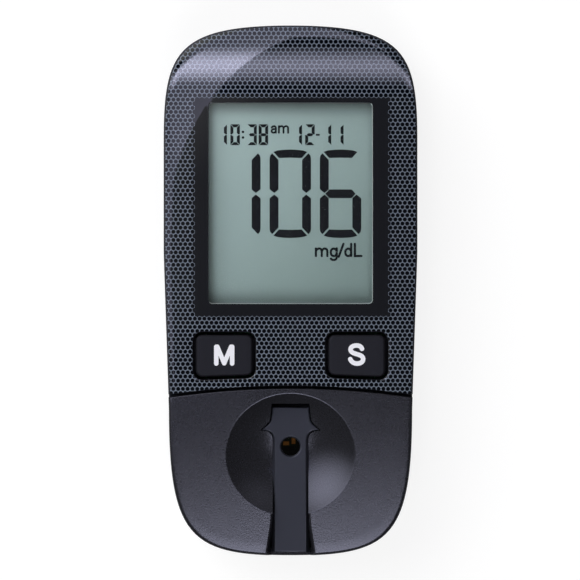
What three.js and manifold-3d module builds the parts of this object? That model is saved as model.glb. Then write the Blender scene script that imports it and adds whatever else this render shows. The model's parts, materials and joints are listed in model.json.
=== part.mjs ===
// A hand-held blood glucose meter, lying on its back with the display up.
// Millimetres. +Z points out of the display, +Y to the display end, +X to the right of a reader.
// The origin is the middle of the footprint, on the surface that the meter lies on.
import * as THREE from "three";
import { mergeVertices } from "three/addons/utils/BufferGeometryUtils.js";
import { ParametricGeometry } from "three/addons/geometries/ParametricGeometry.js";
import Module from "manifold-3d";

const wasm = await Module();
wasm.setup();

// Whole body
const bodyLength = 97.8;
const bodyWidth = 46.8;
const bodyHeight = 19.1; // to the tops of the keys, the highest point
const sideTaper = 0.97; // each side closes in by this much before the rounded strip end
const topCornerReach = 20.8; // from the display end to where the sides run straight
const taperReach = 42.1; // from the display end to where the sides begin to close in
const lowerCornerReach = 26.9; // from the strip end to where its round corners begin
const cornerHandleShares = { topEnd: 0.894, topSide: 0.77, lowerEnd: 0.818, lowerSide: 0.885 };
const keyRise = 0.2; // key tops above the highest point of the face
const crossCrown = 0.9; // fall of the face from its middle line to the sides
const topDrop = 1.2; // fall of the face at the display end
const topDropReach = 28.9; // from the display end to where that fall begins
const lowDrop = 2.4; // fall of the face at the strip end
const lowDropReach = 43.9; // from the strip end to where that fall begins
const backEdgeInset = 3.5; // the rounded edge of the back, seen from below
const backEdgeHeight = 5.5; // the same edge, seen from the side
const frontEdgeRadius = 1.2;

// Casings
const gap = 0.3; // between pieces that touch on the real meter
const wall = 1.5;
const floorThickness = 1.5;
const faceplateThickness = 1.6;
const faceplateMargin = 0.25; // casing rim seen round the faceplate
const deckThickness = 1.3; // front housing under the faceplate
const lowerDeckThickness = 1.2; // front housing under the lower cover
const rimRadius = 0.3;

// Lower cover with its dish
const coverLength = 31.3; // from the strip end to the crest of the curved joint
const jointRadius = 153; // the curved joint between faceplate and cover
const jointGap = 0.45;
const coverWall = 1.4;
const dishJointMargin = 2.46; // from the crest of the joint to the rim of the dish
const dishRadius = 11.85;
const dishDepth = 3.7; // from its side rims to its bottom
const dishLengthShare = 0.94; // the dish is a little shorter than wide
const dishSink = 4.8; // bottom of the dish below the highest point of the face
const dishFloorThickness = 1.15;
const dishWall = 1.3;

// Strip guide
const guideRise = 1.35; // top of the guide above the bottom of the dish
const railWidth = 6.1;
const headEndMargin = 1.44; // from the rim of the dish to the end of the head
const headShoulderReach = 2.3; // these reaches run from the end of the head to the strip end
const headTipReach = 4.3;
const headNeckReach = 6.9;
const sightHoleReach = 7.3;
const headEndWidth = 6.9;
const headShoulderWidth = 7.4;
const headTipWidth = 10.6;
const railEndMargin = 0.6; // end of the rail inside the strip end
const guideFlangeWidth = 9.6;
const guideFlangeThickness = 0.5;
const guideFlangeMargin = 3.4; // from the strip end
const slotWidth = 7.05;
const slotLength = 0.7;
const slotPocketDepth = 1.8;
const slotPocketHeight = 0.9;
const channelMouthWidth = 8.75;
const channelNeckWidth = 6.7;
const channelReach = 7.1; // from the strip end to where the channel walls run straight
const sightHoleRadius = 1.72;
const sightHoleChamfer = 0.2;

// Display window, in the faceplate's print, and the opening below it
const windowSideMargin = 8.25; // from the side of the body to the lit display
const windowFromKeys = 9.5; // from the key centres to the lit display
const deckOpeningMargin = 1.8;

// Keys
const keySideMargin = 11.2; // from the side of the body to the key centres
const keyFromJoint = 5.65; // key centres above the crest of the joint
const keyWidth = 10.5;
const keyLength = 7.6;
const keyCornerRadius = 1.2;
const keyTilt = 0.35; // outer lower corner below the inner one
const keyOpeningMargin = 0.45;
const keyEdgeRadius = 0.5;
const keyTravel = 0.5;
const keySwitchClearance = 0.15; // left between key and switch at full travel
const keyWingReach = 0.9; // wings past the opening hold the key in
const keyWingLength = 7;
const keyWingThickness = 0.8;
const keyStemRadius = 1.6;
const keyStemLength = 0.6;

// Display stack
const glassSideMargin = 5.8; // from the side of the body to the glass
const glassThickness = 0.55;
const glassMargin = 2.35; // glass past the lit display at the display end
const glassLedge = 3.9; // front glass past the lit display at the key end
const rearGlassLedge = 1.1;
const filmThickness = 0.2;
const filmMargin = 0.9;
const frameWall = 1;
const frameLip = 1.2;
const frameLedgeThickness = 1.2;
const frameScrewClearance = 0.6; // between the frame and the screw bosses
const connectorSideMargin = 2.1; // inside the edge of the glass
const connectorDepth = 2;

// Circuit board and what is on it
const boardThickness = 1;
const boardSideMargin = 4.1; // from the side of the body
const boardTopMargin = 10.4; // main field of the board from the display end
const boardLowMargin = 12; // and from the strip end
const socketTongueWidth = 13;
const socketTongueMargin = 2.5; // from the display end
const opticsTongueSide = 1.5; // board beside the optics block
const opticsTongueMargin = 6.4; // from the strip end
const switchSide = 6;
const switchBodyHeight = 1.6;
const switchPinRadius = 1.5;
const chipSide = 12;
const chipHeight = 1.4;
const chipPlace = { x: -6, reach: 13 }; // these reaches run down from the top of the lit display
const memoryWidth = 5;
const memoryLength = 6;
const memoryHeight = 1.2;
const memoryPlace = { x: 8, reach: 10.65 };
const crystalWidth = 8;
const crystalLength = 3.8;
const crystalHeight = 1.4;
const crystalPlace = { x: 8, reach: 17.5 };
const buzzerRadius = 3.6;
const buzzerHeight = 2.2;
const buzzerHoleRadius = 0.6;
const buzzerHoleDepth = 0.6;

// Data socket at the display end
const socketWidth = 7.6;
const socketLength = 5.2;
const socketHeight = 2.6;
const socketSheet = 0.35;
const socketEndMargin = 0.5;
const socketTongueThickness = 0.6;
const socketTongueSide = 3.6;

// Optics
const opticsWidth = 9;
const opticsLength = 11;
const opticsWellRadius = 2.1;
const windowDiscRadius = 2.7;
const windowDiscThickness = 0.5;
const ledWidth = 1.1;
const ledLength = 0.7;
const ledHeight = 0.5;
const ledLeftPlace = { x: -0.8, y: 0.5 }; // from the centre of the hole
const ledRightPlace = { x: 0.55, y: 0.95 };
const photodiodeSide = 1.3;
const photodiodeHeight = 0.5;
const photodiodePlace = { x: 0.35, y: -0.75 };

// Coin cell, its tray, contacts and door
const cellRadius = 10;
const cellHeight = 3.2;
const cellRimHeight = 2.6;
const cellCapInset = 1.2;
const cellFromTop = 39.9; // cell centre from the display end
const trayClearance = 0.7; // round the cell
const trayWall = 1.2;
const trayRoofThickness = 0.7;
const trayCornerRadius = 1.5;
const doorRecess = 0.1;
const doorThickness = 1.2;
const doorLugWidth = 3;
const doorLugReach = 0.9;
const doorLugThickness = 0.5;
const doorLugLift = 0.5;
const doorLugSpacing = 11;
const doorNotchHeight = 2;
const doorGripWidth = 9;
const doorGripDepth = 0.5;
const doorGripLength = 3.2;
const leafWidth = 3;
const leafLength = 11;
const leafThickness = 0.3;
const leafWindowMargin = 1;
const postSide = 1.2;
const postWindowSide = 3;

// Screws
const screwHeadRadius = 1.9;
const screwHeadHeight = 1.2;
const screwHeadRecess = 0.9;
const screwShankRadius = 0.9;
const screwBossRadius = 2.9;
const screwBite = 3.3; // shank above the seam of the casing
const crossWidth = 0.5;
const crossLength = 2.2;
const crossDepth = 0.6;
const topScrewMargins = { side: 8.4, end: 7.1 }; // from the side and from the end of the body
const lowScrewMargins = { side: 8.9, end: 8.4 };
const boardScrewMargins = { side: 6.3, joint: 4.6 }; // from the side and from the crest of the joint
const boardScrewRadius = 0.7;
const boardScrewHeadRadius = 1.6;
const boardScrewHeadHeight = 0.8;
const boardScrewBite = 2.9;
const boardBossRadius = 2.2;

// Steps on round shapes
const overrun = 2; // how far a cutter runs past what it cuts
const mergeDistance = 1e-5;
const planSteps = 64;
const edgeSteps = 3;
const roundSteps = 18;
const faceRingShares = [0.75, 0.4, 0];

// Places worked out from the sizes above
const halfLength = bodyLength / 2;
const halfWidth = bodyWidth / 2;
const faceHeight = bodyHeight - keyRise;
const topDropStart = halfLength - topDropReach;
const lowDropStart = lowDropReach - halfLength;
const jointY = coverLength - halfLength;
const dishHalfLength = dishRadius * dishLengthShare;
const dishY = jointY - dishJointMargin - dishHalfLength;
const dishFloor = faceHeight - dishSink;
const dishUnderside = dishFloor - dishFloorThickness;
const guideTop = dishFloor + guideRise;
const guideNeckBottom = dishUnderside + gap;
const guideFlangeTop = dishUnderside - gap;
const guideBottom = guideFlangeTop - guideFlangeThickness;
const headEndY = dishY + dishHalfLength - headEndMargin;
const headShoulderY = headEndY - headShoulderReach;
const headTipY = headEndY - headTipReach;
const headNeckY = headEndY - headNeckReach;
const opticsTop = guideBottom - gap;
const sightHoleY = headEndY - sightHoleReach;
const keyY = jointY + keyFromJoint;
const keyX = halfWidth - keySideMargin;
const cellY = halfLength - cellFromTop;
const traySide = cellRadius + cellRadius + trayClearance + trayClearance;
const doorTop = doorRecess + doorThickness;
const cellBottom = doorTop + gap;
const trayRoofBottom = cellBottom + cellHeight + gap;
const trayTop = trayRoofBottom + trayRoofThickness;
const boardBottom = trayTop + gap;
const boardTop = boardBottom + boardThickness;
const onBoard = boardTop + gap;
const frontBottom = (boardTop + guideBottom - lowerDeckThickness) / 2; // deck midway between both
const splitHeight = frontBottom - gap; // top rim of the rear shell
const lowerDeckTop = frontBottom + lowerDeckThickness;
const coverBottom = lowerDeckTop + gap;
const deckDrop = faceplateThickness + gap;
const cavityDrop = deckDrop + deckThickness;
const topScrewY = halfLength - topScrewMargins.end;
const frameTopY = topScrewY - screwBossRadius - frameScrewClearance;
const glassTopY = frameTopY - frameWall - gap;
const glassWidth = bodyWidth - glassSideMargin - glassSideMargin;
const windowWidth = bodyWidth - windowSideMargin - windowSideMargin;
const windowTopY = glassTopY - glassMargin;
const windowLowY = keyY + windowFromKeys;
const windowLength = windowTopY - windowLowY;
const glassTop = faceAt(glassWidth / 2, glassTopY) - cavityDrop - gap;
const frontGlassBottom = glassTop - glassThickness;
const rearGlassTop = frontGlassBottom - gap;
const rearGlassBottom = rearGlassTop - glassThickness;
const reflectorTop = rearGlassBottom - gap;
const reflectorBottom = reflectorTop - filmThickness;
const frameLedgeTop = reflectorBottom - gap;
const frontGlassLowY = windowLowY - glassLedge;
const rearGlassLowY = windowLowY - rearGlassLedge;

// Height of the face at a place: crowned across, falling away to both ends
function faceAt(x, y) {
  const across = x / halfWidth;
  const up = Math.max(0, (y - topDropStart) / topDropReach);
  const down = Math.max(0, (lowDropStart - y) / lowDropReach);
  return faceHeight - crossCrown * across ** 2 - topDrop * up ** 2 - lowDrop * down ** 2;
}

// Points round the outline of the body seen from the front
function planPoints() {
  const shares = cornerHandleShares;
  const lowerHalf = halfWidth - sideTaper;
  const topSideY = halfLength - topCornerReach;
  const lowSideY = lowerCornerReach - halfLength;
  const topHandleY = topSideY + topCornerReach * shares.topSide;
  const lowHandleY = lowSideY - lowerCornerReach * shares.lowerSide;
  const topHandleX = halfWidth * shares.topEnd;
  const lowHandleX = lowerHalf * shares.lowerEnd;
  const path = new THREE.Path();
  path.moveTo(0, halfLength);
  path.bezierCurveTo(topHandleX, halfLength, halfWidth, topHandleY, halfWidth, topSideY);
  path.lineTo(halfWidth, halfLength - taperReach);
  path.lineTo(lowerHalf, lowSideY);
  path.bezierCurveTo(lowerHalf, lowHandleY, lowHandleX, -halfLength, 0, -halfLength);
  path.bezierCurveTo(-lowHandleX, -halfLength, -lowerHalf, lowHandleY, -lowerHalf, lowSideY);
  path.lineTo(-halfWidth, halfLength - taperReach);
  path.lineTo(-halfWidth, topSideY);
  path.bezierCurveTo(-halfWidth, topHandleY, -topHandleX, halfLength, 0, halfLength);
  return path.getSpacedPoints(planSteps);
}

const plan = planPoints();

// A closed mesh as a solid that can be joined and cut
function solidOf(geometry) {
  geometry.deleteAttribute("normal");
  geometry.deleteAttribute("uv");
  const merged = mergeVertices(geometry, mergeDistance);
  const corners = merged.index.array;
  const triangles = [];
  for (let i = 0; i < corners.length; i += 3) {
    const [a, b, c] = [corners[i], corners[i + 1], corners[i + 2]];
    if (a !== b && b !== c && c !== a) triangles.push(a, b, c);
  }
  return new wasm.Manifold(new wasm.Mesh({
    numProp: 3,
    vertProperties: new Float32Array(merged.attributes.position.array),
    triVerts: new Uint32Array(triangles),
  }));
}

function geometryOf(solid) {
  const mesh = solid.getMesh();
  const geometry = new THREE.BufferGeometry();
  geometry.setAttribute("position", new THREE.BufferAttribute(mesh.vertProperties, mesh.numProp));
  geometry.setIndex(new THREE.BufferAttribute(mesh.triVerts, 1));
  geometry.computeVertexNormals();
  return geometry;
}

// A closed body whose rings follow the outline, from the middle of its back to the middle of its front.
// A ring has a share of the way out from the middle, an inset from the outline and a height.
function ringBody(rings) {
  const last = rings.length - 1;
  const place = (u, v, target) => {
    const ring = rings[Math.round(v * last)];
    const point = plan[Math.round((1 - u) * planSteps) % planSteps];
    const x = point.x * ring.share * (1 - ring.inset / halfWidth);
    const y = point.y * ring.share * (1 - ring.inset / halfLength);
    target.set(x, y, ring.height(x, y));
  };
  return solidOf(new ParametricGeometry(place, planSteps, last));
}

// Rings over the rounded front edge and the crowned face
function frontRings(inset, drop, radius) {
  const rings = [];
  for (let i = 0; i <= edgeSteps; i++) {
    const turn = (i / edgeSteps) * (Math.PI / 2);
    const fall = drop + radius * (1 - Math.sin(turn));
    const edgeInset = inset + radius * (1 - Math.cos(turn));
    rings.push({ share: 1, inset: edgeInset, height: (x, y) => faceAt(x, y) - fall });
  }
  for (const share of faceRingShares) {
    rings.push({ share, inset: inset + radius, height: (x, y) => faceAt(x, y) - drop });
  }
  return rings;
}

// The whole outer form, or the same form inset, raised off the floor and lowered under the face
function bodyForm({ inset = 0, floor = 0, drop = 0, radius = frontEdgeRadius }) {
  const rings = [{ share: 0, inset: inset + backEdgeInset, height: () => floor }];
  for (let i = 0; i <= edgeSteps; i++) {
    const turn = (i / edgeSteps) * (Math.PI / 2);
    const edgeInset = inset + backEdgeInset * (1 - Math.sin(turn));
    const height = floor + (backEdgeHeight - floor) * (1 - Math.cos(turn));
    rings.push({ share: 1, inset: edgeInset, height: () => height });
  }
  return ringBody([...rings, ...frontRings(inset, drop, radius)]);
}

// The faceplate's form: its underside is the face again, lowered by its thickness
function faceplateForm() {
  const under = (x, y) => faceAt(x, y) - faceplateThickness;
  const rings = [...faceRingShares, 1].sort((a, b) => a - b)
    .map((share) => ({ share, inset: faceplateMargin, height: under }));
  return ringBody([...rings, ...frontRings(faceplateMargin, 0, frontEdgeRadius)]);
}

function block(width, length, low, high, x = 0, y = 0) {
  const geometry = new THREE.BoxGeometry(width, length, high - low);
  return solidOf(geometry.translate(x, y, (low + high) / 2));
}

function rod(radius, low, high, x = 0, y = 0) {
  const geometry = new THREE.CylinderGeometry(radius, radius, high - low, roundSteps);
  return solidOf(geometry.rotateX(Math.PI / 2).translate(x, y, (low + high) / 2));
}

function prism(shape, low, high, curveSegments = edgeSteps) {
  const options = { depth: high - low, bevelEnabled: false, curveSegments };
  return solidOf(new THREE.ExtrudeGeometry(shape, options).translate(0, 0, low));
}

// A solid of revolution about an upright axis, from points of radius and height
function turned(points, x = 0, y = 0) {
  const profile = points.map(([radius, height]) => new THREE.Vector2(radius, height));
  const geometry = new THREE.LatheGeometry(profile, roundSteps);
  return solidOf(geometry.rotateX(Math.PI / 2).translate(x, y, 0));
}

// A polygon whose corners are rounded, listed against the clock
function roundedShape(corners, radius) {
  const shape = new THREE.Shape();
  const count = corners.length;
  corners.forEach((corner, i) => {
    const before = corners[(i + count - 1) % count];
    const after = corners[(i + 1) % count];
    const start = corner.clone().add(before.clone().sub(corner).setLength(radius));
    const end = corner.clone().add(after.clone().sub(corner).setLength(radius));
    if (i === 0) shape.moveTo(start.x, start.y);
    else shape.lineTo(start.x, start.y);
    shape.quadraticCurveTo(corner.x, corner.y, end.x, end.y);
  });
  shape.closePath();
  return shape;
}

function roundedRectangle(width, length, radius, x = 0, y = 0) {
  const signs = [[-1, -1], [1, -1], [1, 1], [-1, 1]];
  const corners = signs.map(([a, b]) => new THREE.Vector2(x + a * width / 2, y + b * length / 2));
  return roundedShape(corners, radius);
}

// Everything between two heights
function layer(low, high = bodyHeight + overrun) {
  return block(bodyWidth + overrun, bodyLength + overrun, low, high);
}

// The side of the curved joint towards one end, offset from the joint by a distance towards that end
function sideOfJoint(towardsDisplay, offset) {
  const centreY = jointY - jointRadius;
  const radius = towardsDisplay ? jointRadius + offset : jointRadius - offset;
  const half = halfWidth + overrun;
  const lean = Math.asin(half / radius);
  const farY = towardsDisplay ? halfLength + overrun : -halfLength - overrun;
  const shape = new THREE.Shape();
  shape.moveTo(half, farY);
  shape.lineTo(-half, farY);
  shape.absarc(0, centreY, radius, Math.PI / 2 + lean, Math.PI / 2 - lean, true);
  shape.closePath();
  return prism(shape, -overrun, bodyHeight + overrun, roundSteps);
}

const displaySide = (offset) => sideOfJoint(true, offset);
const stripSide = (offset) => sideOfJoint(false, offset);

// Screw places, as points
const mirrored = ({ x, y }) => [{ x, y }, { x: -x, y }];
const topScrews = mirrored({ x: halfWidth - topScrewMargins.side, y: topScrewY });
const lowScrews = mirrored({ x: halfWidth - lowScrewMargins.side, y: lowScrewMargins.end - halfLength });
const caseScrews = [...topScrews, ...lowScrews];
const boardScrews = mirrored({ x: halfWidth - boardScrewMargins.side, y: jointY + boardScrewMargins.joint });

const screwHeadTop = screwHeadRecess + screwHeadHeight;
const screwTip = splitHeight + screwBite;
const lowBossTop = opticsTop - gap;
const lowScrewTip = lowBossTop - gap - gap;
const socketLow = onBoard;
const socketMiddleY = halfLength - socketEndMargin - socketLength / 2;

function socketOpening() {
  const low = socketLow - gap;
  const high = socketLow + socketHeight + gap;
  const length = wall + socketLength;
  return block(socketWidth + gap + gap, length, low, high, 0, halfLength + overrun - length / 2);
}

function tray() {
  const outer = traySide + trayWall + trayWall;
  const body = prism(roundedRectangle(outer, outer, trayCornerRadius + trayWall, 0, cellY),
    floorThickness / 2, trayTop);
  const room = prism(roundedRectangle(traySide, traySide, trayCornerRadius, 0, cellY),
    -overrun, trayRoofBottom);
  return { body, room };
}

const postReach = (cellRadius + gap + postSide / 2) / Math.SQRT2;

function rearShell() {
  const outer = bodyForm({});
  const cavity = bodyForm({ inset: wall, floor: floorThickness });
  let shell = outer.intersect(layer(-overrun, splitHeight)).subtract(cavity);
  for (const { x, y } of caseScrews) {
    const boss = rod(screwBossRadius, 0, frontBottom - gap - gap, x, y);
    shell = shell.add(boss.intersect(outer));
  }
  for (const { x, y } of boardScrews) {
    shell = shell.add(rod(boardBossRadius, floorThickness / 2, boardBottom - gap, x, y));
  }
  const { body, room } = tray();
  shell = shell.add(body).subtract(room).subtract(socketOpening());
  for (const { x, y } of caseScrews) {
    shell = shell.subtract(rod(screwHeadRadius + gap, -overrun, screwHeadTop + gap, x, y));
    shell = shell.subtract(rod(screwShankRadius + gap, 0, splitHeight + overrun, x, y));
  }
  for (const { x, y } of boardScrews) {
    const tip = boardBottom - boardScrewBite - gap;
    shell = shell.subtract(rod(boardScrewRadius + gap, tip, boardBottom + overrun, x, y));
  }
  for (const x of [-doorLugSpacing / 2, doorLugSpacing / 2]) {
    const reach = doorLugReach + gap + gap;
    const middle = cellY + traySide / 2 + reach / 2 - gap;
    const low = doorRecess + doorLugLift - gap;
    shell = shell.subtract(block(doorLugWidth + gap + gap, reach, low, low + doorNotchHeight, x, middle));
  }
  const leafRoom = block(leafWidth + leafWindowMargin, leafLength + leafWindowMargin,
    trayRoofBottom - gap, trayTop + gap, 0, cellY);
  const postRoom = block(postWindowSide, postWindowSide,
    trayRoofBottom - gap, trayTop + gap, postReach, cellY + postReach);
  return shell.subtract(leafRoom).subtract(postRoom);
}

// The lower outer corner of a key hangs a little below the inner one
function keyShape(side, margin) {
  const half = keyWidth / 2 + margin;
  const top = keyLength / 2 + margin;
  const inner = side > 0 ? -half : half;
  const lowInner = new THREE.Vector2(inner, keyTilt / 2 - top);
  const lowOuter = new THREE.Vector2(-inner, -keyTilt / 2 - top);
  const lows = side > 0 ? [lowInner, lowOuter] : [lowOuter, lowInner];
  const corners = [...lows, new THREE.Vector2(half, top), new THREE.Vector2(-half, top)];
  const middle = new THREE.Vector2(side * keyX, keyY);
  return roundedShape(corners.map((corner) => corner.add(middle)), keyCornerRadius + margin);
}

function keyOpenings() {
  const top = bodyHeight + overrun;
  const low = boardTop + overrun;
  return prism(keyShape(-1, keyOpeningMargin), low, top)
    .add(prism(keyShape(1, keyOpeningMargin), low, top));
}

function frontHousing() {
  const seam = gap / 2;
  const lowered = bodyForm({ drop: deckDrop, radius: rimRadius });
  const cavity = bodyForm({ inset: wall, drop: cavityDrop, radius: rimRadius });
  const upper = lowered.intersect(layer(frontBottom)).intersect(displaySide(seam))
    .subtract(cavity.intersect(displaySide(seam + wall)));
  const lower = bodyForm({}).intersect(layer(frontBottom, lowerDeckTop))
    .intersect(stripSide(-seam - wall));
  let housing = upper.add(lower);
  for (const { x, y } of topScrews) {
    const boss = rod(screwBossRadius, frontBottom, bodyHeight, x, y).intersect(lowered);
    housing = housing.add(boss).subtract(rod(screwShankRadius + gap, 0, screwTip + gap, x, y));
  }
  for (const { x, y } of lowScrews) {
    housing = housing.add(rod(screwBossRadius, frontBottom, lowBossTop, x, y));
    housing = housing.subtract(rod(screwShankRadius + gap, 0, lowScrewTip + gap, x, y));
  }
  const openingWidth = windowWidth + deckOpeningMargin + deckOpeningMargin;
  const openingLength = windowLength + deckOpeningMargin + deckOpeningMargin;
  const middle = (windowTopY + windowLowY) / 2;
  const displayOpening = block(openingWidth, openingLength, boardTop + overrun, bodyHeight, 0, middle);
  const opticsOpening = block(opticsWidth + gap + gap, opticsLength + gap + gap,
    0, lowerDeckTop + overrun, 0, sightHoleY);
  return housing.subtract(displayOpening).subtract(keyOpenings())
    .subtract(opticsOpening).subtract(socketOpening());
}

function faceplate() {
  return faceplateForm().intersect(displaySide(0)).subtract(keyOpenings());
}

// A spherical bowl, shortened along the body, as the cutter that hollows the dish
function dishCutter() {
  const radius = (dishRadius ** 2 + dishDepth ** 2) / (dishDepth + dishDepth);
  const mouth = Math.asin((dishRadius + dishWall) / radius);
  const points = [];
  for (let i = 0; i <= edgeSteps + edgeSteps; i++) {
    const turn = (i / (edgeSteps + edgeSteps)) * mouth;
    points.push([radius * Math.sin(turn), dishFloor + radius * (1 - Math.cos(turn))]);
  }
  points.push([dishRadius + dishWall, bodyHeight + overrun], [0, bodyHeight + overrun]);
  const profile = points.map(([r, z]) => new THREE.Vector2(r, z));
  const geometry = new THREE.LatheGeometry(profile, roundSteps + roundSteps);
  geometry.rotateX(Math.PI / 2).scale(1, dishLengthShare, 1);
  return solidOf(geometry.translate(0, dishY, 0));
}

// Outline of the guide: a head that flares to two points, then a straight rail to the strip end
function guideShape(margin, railEnd) {
  const shape = new THREE.Shape();
  const rail = railWidth / 2 + margin;
  const half = {
    end: headEndWidth / 2 + margin,
    shoulder: headShoulderWidth / 2 + margin,
    tip: headTipWidth / 2 + margin,
  };
  shape.moveTo(-rail, railEnd);
  shape.lineTo(rail, railEnd);
  shape.lineTo(rail, headNeckY);
  shape.quadraticCurveTo(rail, headTipY - margin, half.tip, headTipY - margin);
  if (margin > 0) shape.lineTo(half.tip, headTipY + margin);
  shape.lineTo(half.shoulder, headShoulderY + margin);
  shape.lineTo(half.end, headEndY + margin);
  shape.lineTo(-half.end, headEndY + margin);
  shape.lineTo(-half.shoulder, headShoulderY + margin);
  if (margin > 0) shape.lineTo(-half.tip, headTipY + margin);
  shape.lineTo(-half.tip, headTipY - margin);
  shape.quadraticCurveTo(-rail, headTipY - margin, -rail, headNeckY);
  shape.closePath();
  return shape;
}

const railEndY = railEndMargin - halfLength;

// The flared mouth of the strip channel, through the cover's end wall
function channelShape() {
  const neckY = channelReach - halfLength;
  const mouthY = -halfLength - overrun;
  const shape = new THREE.Shape();
  shape.moveTo(-channelMouthWidth / 2, mouthY);
  shape.lineTo(channelMouthWidth / 2, mouthY);
  shape.lineTo(channelMouthWidth / 2, -halfLength);
  shape.lineTo(channelNeckWidth / 2, neckY);
  shape.lineTo(-channelNeckWidth / 2, neckY);
  shape.lineTo(-channelMouthWidth / 2, -halfLength);
  shape.closePath();
  return shape;
}

function measuringCover() {
  const outer = bodyForm({}).intersect(layer(coverBottom)).intersect(stripSide(jointGap));
  const inner = bodyForm({ inset: coverWall, drop: coverWall });
  const hollow = inner.intersect(stripSide(jointGap + coverWall))
    .add(inner.intersect(layer(-overrun, dishUnderside)));
  const dishBlock = rod(dishRadius + dishWall, dishUnderside, bodyHeight, 0, dishY).intersect(outer);
  const slotY = headEndY + gap;
  const slotDrop = block(slotWidth, slotLength, -overrun, bodyHeight + overrun, 0, slotY);
  const pocketLow = guideTop - gap;
  const slotPocket = block(slotWidth, slotPocketDepth + slotLength,
    pocketLow, pocketLow + slotPocketHeight + gap, 0, slotY + slotPocketDepth / 2);
  const guideRoom = prism(guideShape(gap, -halfLength - overrun),
    dishUnderside - gap, bodyHeight + overrun);
  const channel = prism(channelShape(), dishUnderside, bodyHeight + overrun);
  return outer.subtract(hollow).add(dishBlock).subtract(dishCutter())
    .subtract(guideRoom).subtract(slotDrop).subtract(slotPocket).subtract(channel);
}

function stripGuide() {
  const body = prism(guideShape(0, railEndY), guideNeckBottom, guideTop);
  const low = guideFlangeMargin - halfLength;
  const length = headShoulderY - low;
  const footMiddle = low + length / 2;
  const foot = block(railWidth, length, guideBottom, guideNeckBottom + gap, 0, footMiddle);
  const flange = block(guideFlangeWidth, length, guideBottom, guideFlangeTop, 0, footMiddle);
  const wide = sightHoleRadius + sightHoleChamfer;
  const hole = turned([
    [0, guideBottom - overrun], [sightHoleRadius, guideBottom - overrun],
    [sightHoleRadius, guideTop - sightHoleChamfer], [wide, guideTop],
    [wide, guideTop + overrun], [0, guideTop + overrun],
  ], 0, sightHoleY);
  return body.add(foot).add(flange).subtract(hole);
}

const wingLow = faceAt(keyX + keyWidth / 2 + keyWingReach, keyY) - cavityDrop - gap - keyWingThickness;
const stemLow = wingLow - keyStemLength;
const switchTop = stemLow - keyTravel - keySwitchClearance;

function key(side) {
  const x = side * keyX;
  const capTop = bodyHeight - keyEdgeRadius;
  const options = {
    depth: capTop - wingLow, curveSegments: edgeSteps, bevelSegments: edgeSteps,
    bevelThickness: keyEdgeRadius, bevelSize: keyEdgeRadius, bevelOffset: -keyEdgeRadius,
  };
  const capGeometry = new THREE.ExtrudeGeometry(keyShape(side, 0), options).translate(0, 0, wingLow);
  const cap = solidOf(capGeometry).intersect(layer(wingLow));
  const openingWidth = keyWidth + keyOpeningMargin + keyOpeningMargin;
  const wings = block(openingWidth + keyWingReach + keyWingReach, keyWingLength,
    wingLow, wingLow + keyWingThickness, x, keyY);
  const stem = rod(keyStemRadius, stemLow, wingLow + keyWingThickness, x, keyY);
  return cap.add(wings).add(stem);
}

function keySwitch(side) {
  const x = side * keyX;
  const body = block(switchSide, switchSide, onBoard, onBoard + switchBodyHeight, x, keyY);
  return body.add(rod(switchPinRadius, onBoard, switchTop, x, keyY));
}

function pane(width, lowY, highY, low, high) {
  return block(width, highY - lowY, low, high, 0, (lowY + highY) / 2);
}

const connectorWidth = glassWidth - connectorSideMargin - connectorSideMargin;

function lcdFrame() {
  const outerWidth = glassWidth + gap + gap + frameWall + frameWall;
  const lowY = frontGlassLowY - gap - frameWall;
  const pocket = pane(glassWidth + gap + gap, frontGlassLowY - gap, glassTopY + gap,
    frameLedgeTop, bodyHeight);
  const barY = rearGlassLowY + frameLip;
  const middle = pane(glassWidth - frameLip - frameLip, barY, glassTopY - frameLip, 0, bodyHeight);
  const under = pane(glassWidth, barY, glassTopY, 0, frameLedgeTop - frameLedgeThickness);
  const connectorY = frontGlassLowY + connectorDepth / 2;
  const slot = block(connectorWidth + gap + gap, connectorDepth + gap, 0, bodyHeight, 0, connectorY);
  return pane(outerWidth, lowY, frameTopY, onBoard, frontGlassBottom + gap)
    .subtract(pocket).subtract(middle).subtract(under).subtract(slot);
}

function lcdConnector() {
  const y = frontGlassLowY + connectorDepth / 2;
  return block(connectorWidth, connectorDepth - gap, onBoard, frontGlassBottom - gap, 0, y);
}

function mainBoard() {
  const boardWidth = bodyWidth - boardSideMargin - boardSideMargin;
  const opticsTongueWidth = opticsWidth + opticsTongueSide + opticsTongueSide;
  const highY = halfLength - boardTopMargin;
  const lowY = boardLowMargin - halfLength;
  const tongueTop = halfLength - socketTongueMargin;
  const tongueLow = opticsTongueMargin - halfLength;
  let board = pane(boardWidth, lowY, highY, boardBottom, boardTop)
    .add(pane(socketTongueWidth, lowY, tongueTop, boardBottom, boardTop))
    .add(pane(opticsTongueWidth, tongueLow, highY, boardBottom, boardTop));
  for (const { x, y } of boardScrews) {
    board = board.subtract(rod(boardScrewRadius + gap, boardBottom - overrun, boardTop + overrun, x, y));
  }
  return board;
}

function opticsBlock() {
  const body = block(opticsWidth, opticsLength, onBoard, opticsTop, 0, sightHoleY);
  const seat = opticsTop - windowDiscThickness - gap;
  return body.subtract(rod(opticsWellRadius, 0, bodyHeight, 0, sightHoleY))
    .subtract(rod(windowDiscRadius + gap, seat, bodyHeight, 0, sightHoleY));
}

function measuringWindow() {
  return rod(windowDiscRadius, opticsTop - windowDiscThickness, opticsTop, 0, sightHoleY);
}

function die(width, length, height, place) {
  return block(width, length, onBoard, onBoard + height, place.x, sightHoleY + place.y);
}

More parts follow.
